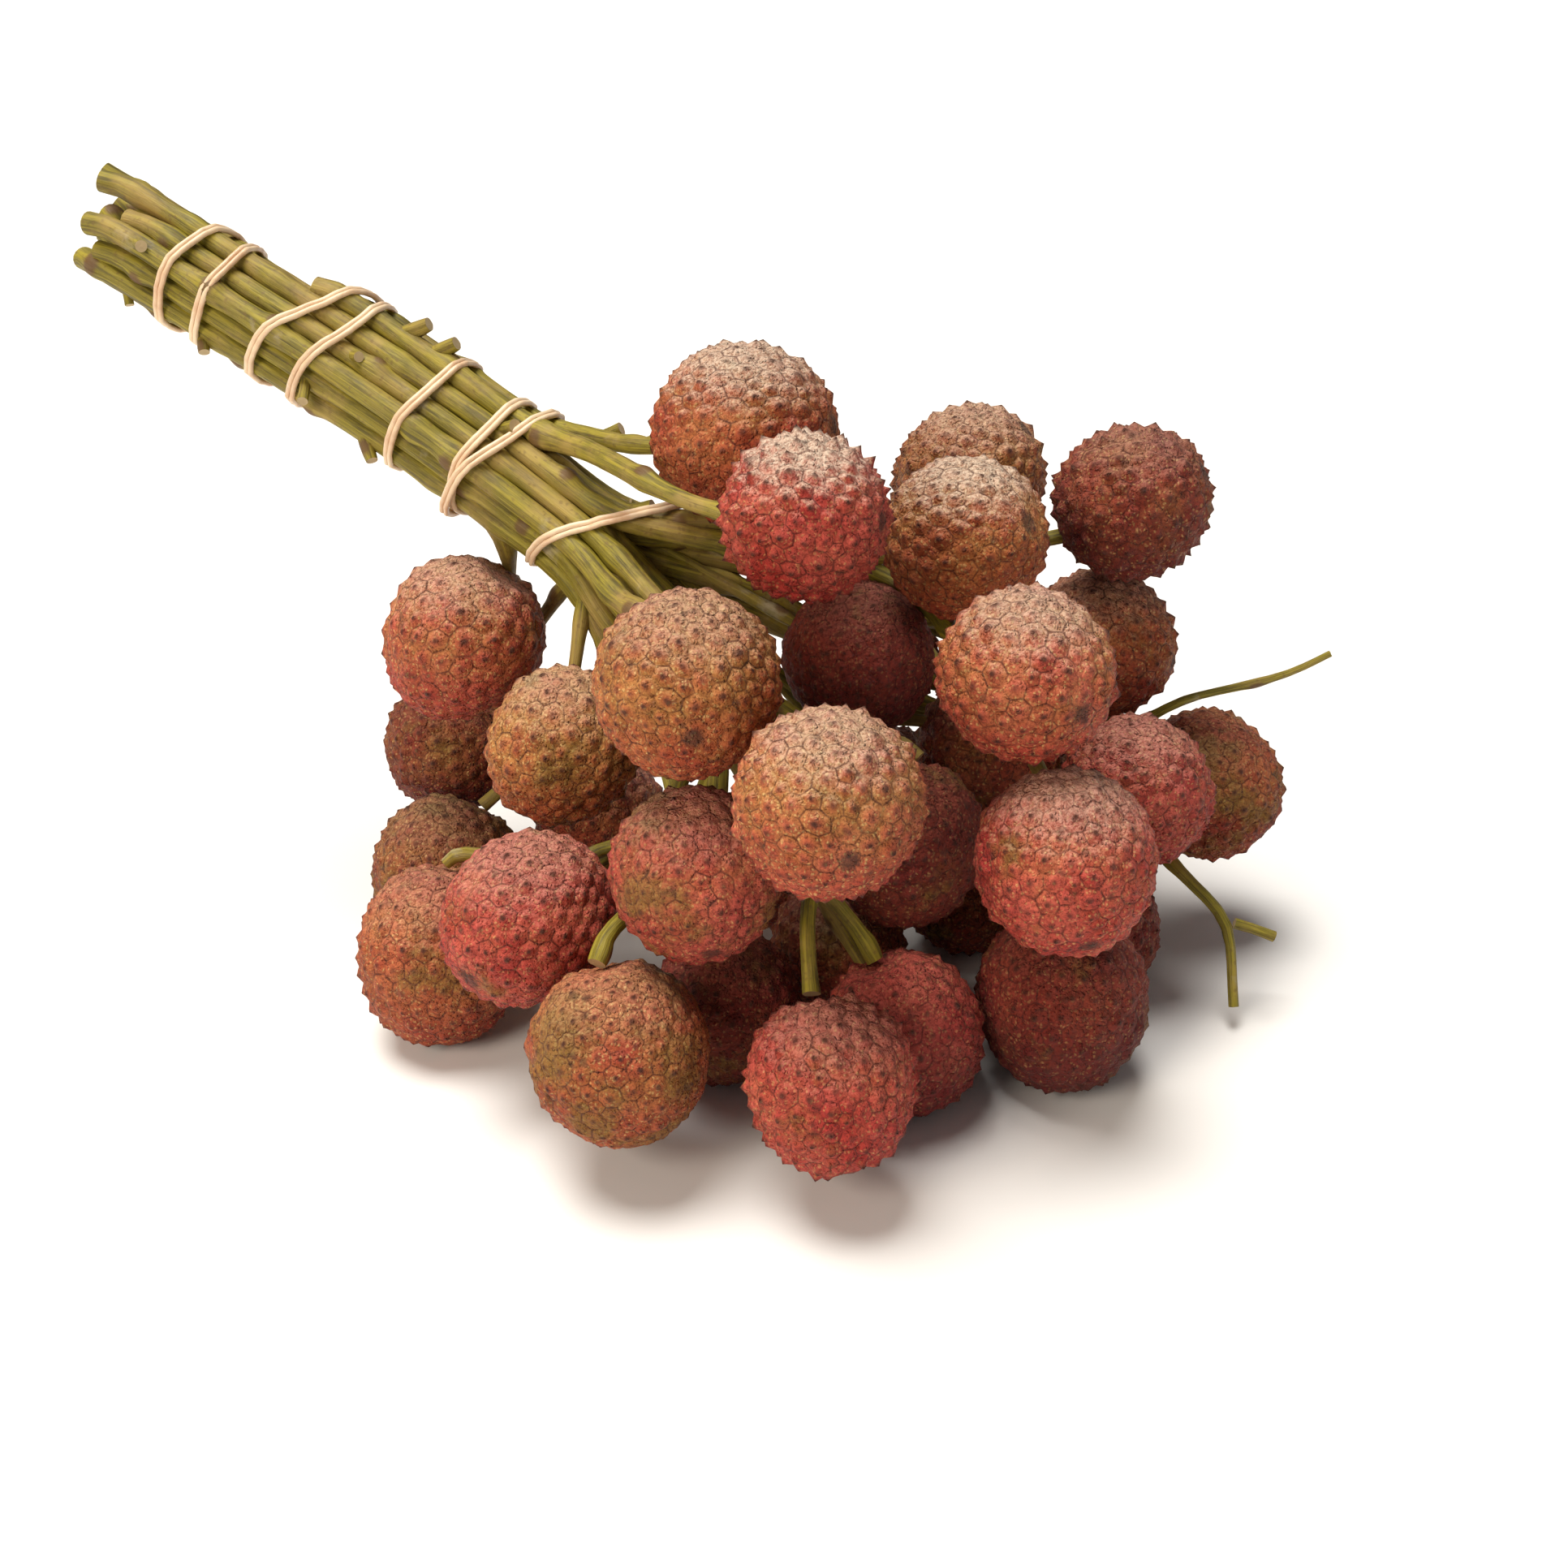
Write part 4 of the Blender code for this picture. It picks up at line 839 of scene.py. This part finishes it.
def skin_material(name, groups, base, bright, deep):
    """Lychee skin: red shields with dark tips, gold, olive and brown marks and pale dust. Dust and gold are
    painted brighter on the tops as painted highlight. Dark red is painted on the undersides and into the
    furrows as painted shade.
    """
    material, t, shader, place = new_material(name, 0.62, 0.35)
    tip, cell, crown = attribute(t, "tip"), attribute(t, "cell"), attribute(t, "crown")
    gold, olive = attribute(t, "gold"), attribute(t, "olive")
    fibre = t.noise(place, 1500.0, 4.0, 0.78)
    broad = used(t, groups["mottle"], Place=place, Scale=70.0, Share=0.55, Softness=0.16)["Mask"]
    colour = t.mix(broad, base, bright)
    colour = t.mix(part_of(t, cell, 0.35), colour, deep)
    # Dark red: partly the skin's own darker tone, partly painted shade, stronger where the fruit faces down.
    dark_red_and_shade_share = t.math("MULTIPLY", attribute(t, "dark"), t.span(crown, 0.75, -0.5, 0.35, 1.0))
    colour = t.mix(dark_red_and_shade_share, colour, DARK_RED_AND_SHADE)

    gold_patch = used(t, groups["mottle"], Place=place, Scale=95.0, Share=gold, Softness=0.22)["Mask"]
    flank = t.span(tip, 0.85, 0.05)
    gold_share = t.math("MULTIPLY", t.math("MULTIPLY", gold_patch, gold),
                        t.math("MULTIPLY_ADD", flank, 0.45, 0.4))
    # The gold patches are the skin's own colour, painted stronger where the fruit faces up as painted
    # highlight.
    lit = t.span(crown, -0.7, 0.6, 0.25, 1.0)
    colour = t.mix(t.math("MULTIPLY", gold_share, lit), colour, GOLD)
    flecks = used(t, groups["flecks"], Place=place, Scale=1300.0, Share=0.42)
    fleck_share = t.math("MULTIPLY_ADD", gold, 0.60, 0.16)
    colour = t.mix(t.math("MULTIPLY", flecks["Mask"], fleck_share), colour, CREAM_FLECK)

    olive_patch = used(t, groups["mottle"], Place=place, Scale=60.0, Share=olive, Softness=0.07)["Mask"]
    olive_share = t.math("MULTIPLY", olive_patch, t.math("MULTIPLY_ADD", fibre, 0.6, 0.35))
    colour = t.mix(olive_share, colour, SKIN_OLIVE)

    # Pale dust together with painted highlight: stronger where the fruit faces up and on the fruit given a
    # large share.
    way = t.add("ShaderNodeNewGeometry").outputs["Normal"]
    facing_up = t.add("ShaderNodeSeparateXYZ", way).outputs[2]
    height = t.math("ADD", part_of(t, crown, 0.62), part_of(t, facing_up, 0.38))
    height = t.math("ADD", height, part_of(t, t.math("SUBTRACT", fibre, 0.5), 0.7))
    dust_and_highlight_mask = t.math("MULTIPLY", t.span(height, 0.42, 1.05), attribute(t, "dust"))
    colour = t.mix(part_of(t, dust_and_highlight_mask, 0.95), colour, PALE_DUST_AND_HIGHLIGHT)

    worn_tip = t.span(t.math("ADD", tip, part_of(t, fibre, 0.3)), 0.74, 1.08)
    tip_dark = t.math("MULTIPLY", worn_tip, t.math("MULTIPLY_ADD", cell, 0.5, 0.5))
    colour = t.mix(tip_dark, colour, TIP_BROWN)
    # Painted shade: dark red along the furrows at the foot of each tubercle, where shade falls between them.
    furrow_shade = t.span(tip, 0.15, 0.0)
    furrow_shade_share = t.math("MULTIPLY", furrow_shade, t.span(t.noise(place, 260.0), 0.36, 0.6, 0.15, 0.75))
    colour = t.mix(furrow_shade_share, colour, FURROW_SHADE_RED)
    spots = used(t, groups["flecks"], Place=place, Scale=420.0, Share=0.10)["Mask"]
    colour = t.mix(part_of(t, spots, 0.55), colour, SPOT_BROWN)
    scar = t.span(t.math("ADD", attribute(t, "stem"), part_of(t, fibre, 0.012)), -0.982, -0.992)
    colour = t.mix(part_of(t, scar, 0.75), colour, END_SCAR)
    shade = t.mix(1.0, colour, FIBRE_SHADE, "MULTIPLY")
    colour = t.mix(part_of(t, t.span(fibre, 0.60, 0.34), 0.8), colour, shade)
    t.put(shader.inputs["Base Color"], colour)

    grain = t.math("ADD", part_of(t, fibre, 0.6), part_of(t, flecks["Height"], 0.7))
    bump = t.add("ShaderNodeBump", Strength=1.0, Distance=0.0011, Height=grain)
    t.put(shader.inputs["Normal"], bump.outputs[0])
    t.put(shader.inputs["Roughness"], t.span(fibre, 0.2, 0.8, 0.5, 0.8))
    return material


def bark_material(groups):
    """Green bark: lengthwise tan and dark streaks, brown scars at the knots, pale wood where it is cut."""
    material, t, shader, place = new_material("stalk_bark", 0.55, 0.4)
    angle = t.math("MULTIPLY", attribute(t, "around"), math.tau)
    along = attribute(t, "along")
    rolled = t.add("ShaderNodeCombineXYZ", t.math("COSINE", angle), t.math("SINE", angle),
                   t.math("MULTIPLY", along, 28.0)).outputs[0]
    spread = t.vector("ADD", rolled, t.vector("SCALE", place, scale=9.0))
    streak = t.noise(spread, 2.6, 5.0, 0.68)
    fine = t.noise(spread, 9.0, 3.0, 0.7)
    colour = t.mix(t.span(streak, 0.32, 0.66), BARK_DARK, BARK_GREEN)
    tan = used(t, groups["mottle"], Place=place, Scale=55.0, Share=0.42, Softness=0.12)["Mask"]
    colour = t.mix(t.math("MULTIPLY", tan, t.math("MULTIPLY_ADD", fine, 0.9, 0.1)), colour, BARK_TAN)
    grey = used(t, groups["mottle"], Place=place, Scale=85.0, Share=0.14, Softness=0.08)["Mask"]
    colour = t.mix(part_of(t, grey, 0.6), colour, BARK_GREY)
    pores = used(t, groups["flecks"], Place=place, Scale=900.0, Share=0.22)
    colour = t.mix(part_of(t, pores["Mask"], 0.5), colour, BARK_PORE)
    crack = t.span(fine, 0.36, 0.22)
    colour = t.mix(part_of(t, crack, 0.7), colour, BARK_CRACK)
    rough_scar = t.math("ADD", attribute(t, "scar"), part_of(t, t.math("SUBTRACT", fine, 0.5), 0.5))
    colour = t.mix(part_of(t, t.span(rough_scar, 0.45, 0.85), 0.85), colour, LEAF_SCAR)
    colour = t.mix(attribute(t, "cut"), colour, CUT_WOOD)
    t.put(shader.inputs["Base Color"], colour)
    relief = t.math("ADD", t.math("MULTIPLY", streak, 0.6), t.math("MULTIPLY", fine, 0.6))
    bump = t.add("ShaderNodeBump", Strength=0.6, Distance=0.0005, Height=relief)
    t.put(shader.inputs["Normal"], bump.outputs[0])
    t.put(shader.inputs["Roughness"], t.span(fine, 0.2, 0.8, 0.42, 0.7))
    return material


def latex_material(groups):
    """Natural latex: cream, a little tan in dirty patches, with a soft shine."""
    material, t, shader, place = new_material("band_latex", 0.33, 0.5)
    dirt = used(t, groups["mottle"], Place=place, Scale=120.0, Share=0.4, Softness=0.2)["Mask"]
    t.put(shader.inputs["Base Color"], t.mix(dirt, LATEX_CREAM, LATEX_TAN))
    shader.inputs["Subsurface Weight"].default_value = 0.12
    shader.inputs["Subsurface Radius"].default_value = (0.002, 0.0012, 0.0007)
    shader.inputs["Subsurface Scale"].default_value = 1.0
    grain = t.noise(place, 900.0, 2.0)
    bump = t.add("ShaderNodeBump", Strength=0.25, Distance=0.0003, Height=grain)
    t.put(shader.inputs["Normal"], bump.outputs[0])
    return material


def make_bunch():
    """Every fruit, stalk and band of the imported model, with its looks on."""
    groups = {"mottle": mottle_group(), "flecks": flecks_group()}
    slots = {part["node"]: part["material_slot"] for part in frame["record"]["subparts"]}
    skins = {}
    for slot, colours in SKIN_COLOURS.items():
        skins[slot] = skin_material(slot.replace("skin", "lychee"), groups, *colours)
    stalk_nodes = sorted(node for node in frame["nodes"] if node.startswith("stalk"))
    fruit_tree = skin_tree()
    for number, where in fruit_frames(stalk_nodes).items():
        slot = slots[f"lychee_{number:02d}"]
        make_fruit(number, where, fruit_tree, slot, skins[slot])
    make_stalks(stalk_nodes, stalk_tree(), bark_material(groups))
    make_bands(band_tree(), latex_material(groups))


# ---- floor, light, camera


def make_floor():
    """A pale level surface just under the bunch."""
    reach = FLOOR_REACH
    floor = bpy.data.meshes.new("floor")
    corner_places = [(-reach, -reach, 0), (reach, -reach, 0), (reach, reach, 0), (-reach, reach, 0)]
    floor.from_pydata(corner_places, [], [(0, 1, 2, 3)])
    placed = bpy.data.objects.new("floor", floor)
    bpy.context.scene.collection.objects.link(placed)
    placed.location.z = FLOOR_DROP
    material = bpy.data.materials.new("pale floor")
    material.use_nodes = True
    shader = material.node_tree.nodes["Principled BSDF"]
    shader.inputs["Base Color"].default_value = FLOOR_COLOUR
    shader.inputs["Roughness"].default_value = 0.9
    floor.materials.append(material)


def make_light(kind, name, place, aim, power, colour, **shape):
    data = bpy.data.lights.new(name, kind)
    data.energy = power
    data.color = colour
    for key, value in shape.items():
        setattr(data, key, value)
    lamp = bpy.data.objects.new(name, data)
    bpy.context.scene.collection.objects.link(lamp)
    lamp.location = place
    lamp.rotation_euler = (Vector(aim) - Vector(place)).to_track_quat("-Z", "Y").to_euler()


def make_studio():
    """The floor, a wide sun and a warm lamp in front, a pale sky and the camera."""
    make_floor()
    make_light("SUN", "skylight", (-0.22, 0.12, 1.0), (0, 0, 0), 4.0, (1.0, 0.965, 0.91),
               angle=math.radians(36))
    make_light("AREA", "front softbox", (-0.7, -0.9, 0.75), (0, 0, 0.07), 10.0, (1.0, 0.88, 0.74),
               size=0.5)
    world = bpy.data.worlds.new("studio")
    world.use_nodes = True
    world.node_tree.nodes["Background"].inputs["Color"].default_value = SKY_COLOUR
    world.node_tree.nodes["Background"].inputs["Strength"].default_value = SKY_STRENGTH
    bpy.context.scene.world = world
    bpy.context.scene.view_settings.view_transform = "Standard"
    data = bpy.data.cameras.new("camera")
    data.lens = CAMERA_LENS
    data.sensor_width = CAMERA_SENSOR
    camera = bpy.data.objects.new("camera", data)
    camera.location = CAMERA_PLACE
    camera.rotation_euler = (math.radians(CAMERA_TILT), 0, 0)
    bpy.context.scene.collection.objects.link(camera)
    bpy.context.scene.camera = camera


make_bunch()
make_studio()
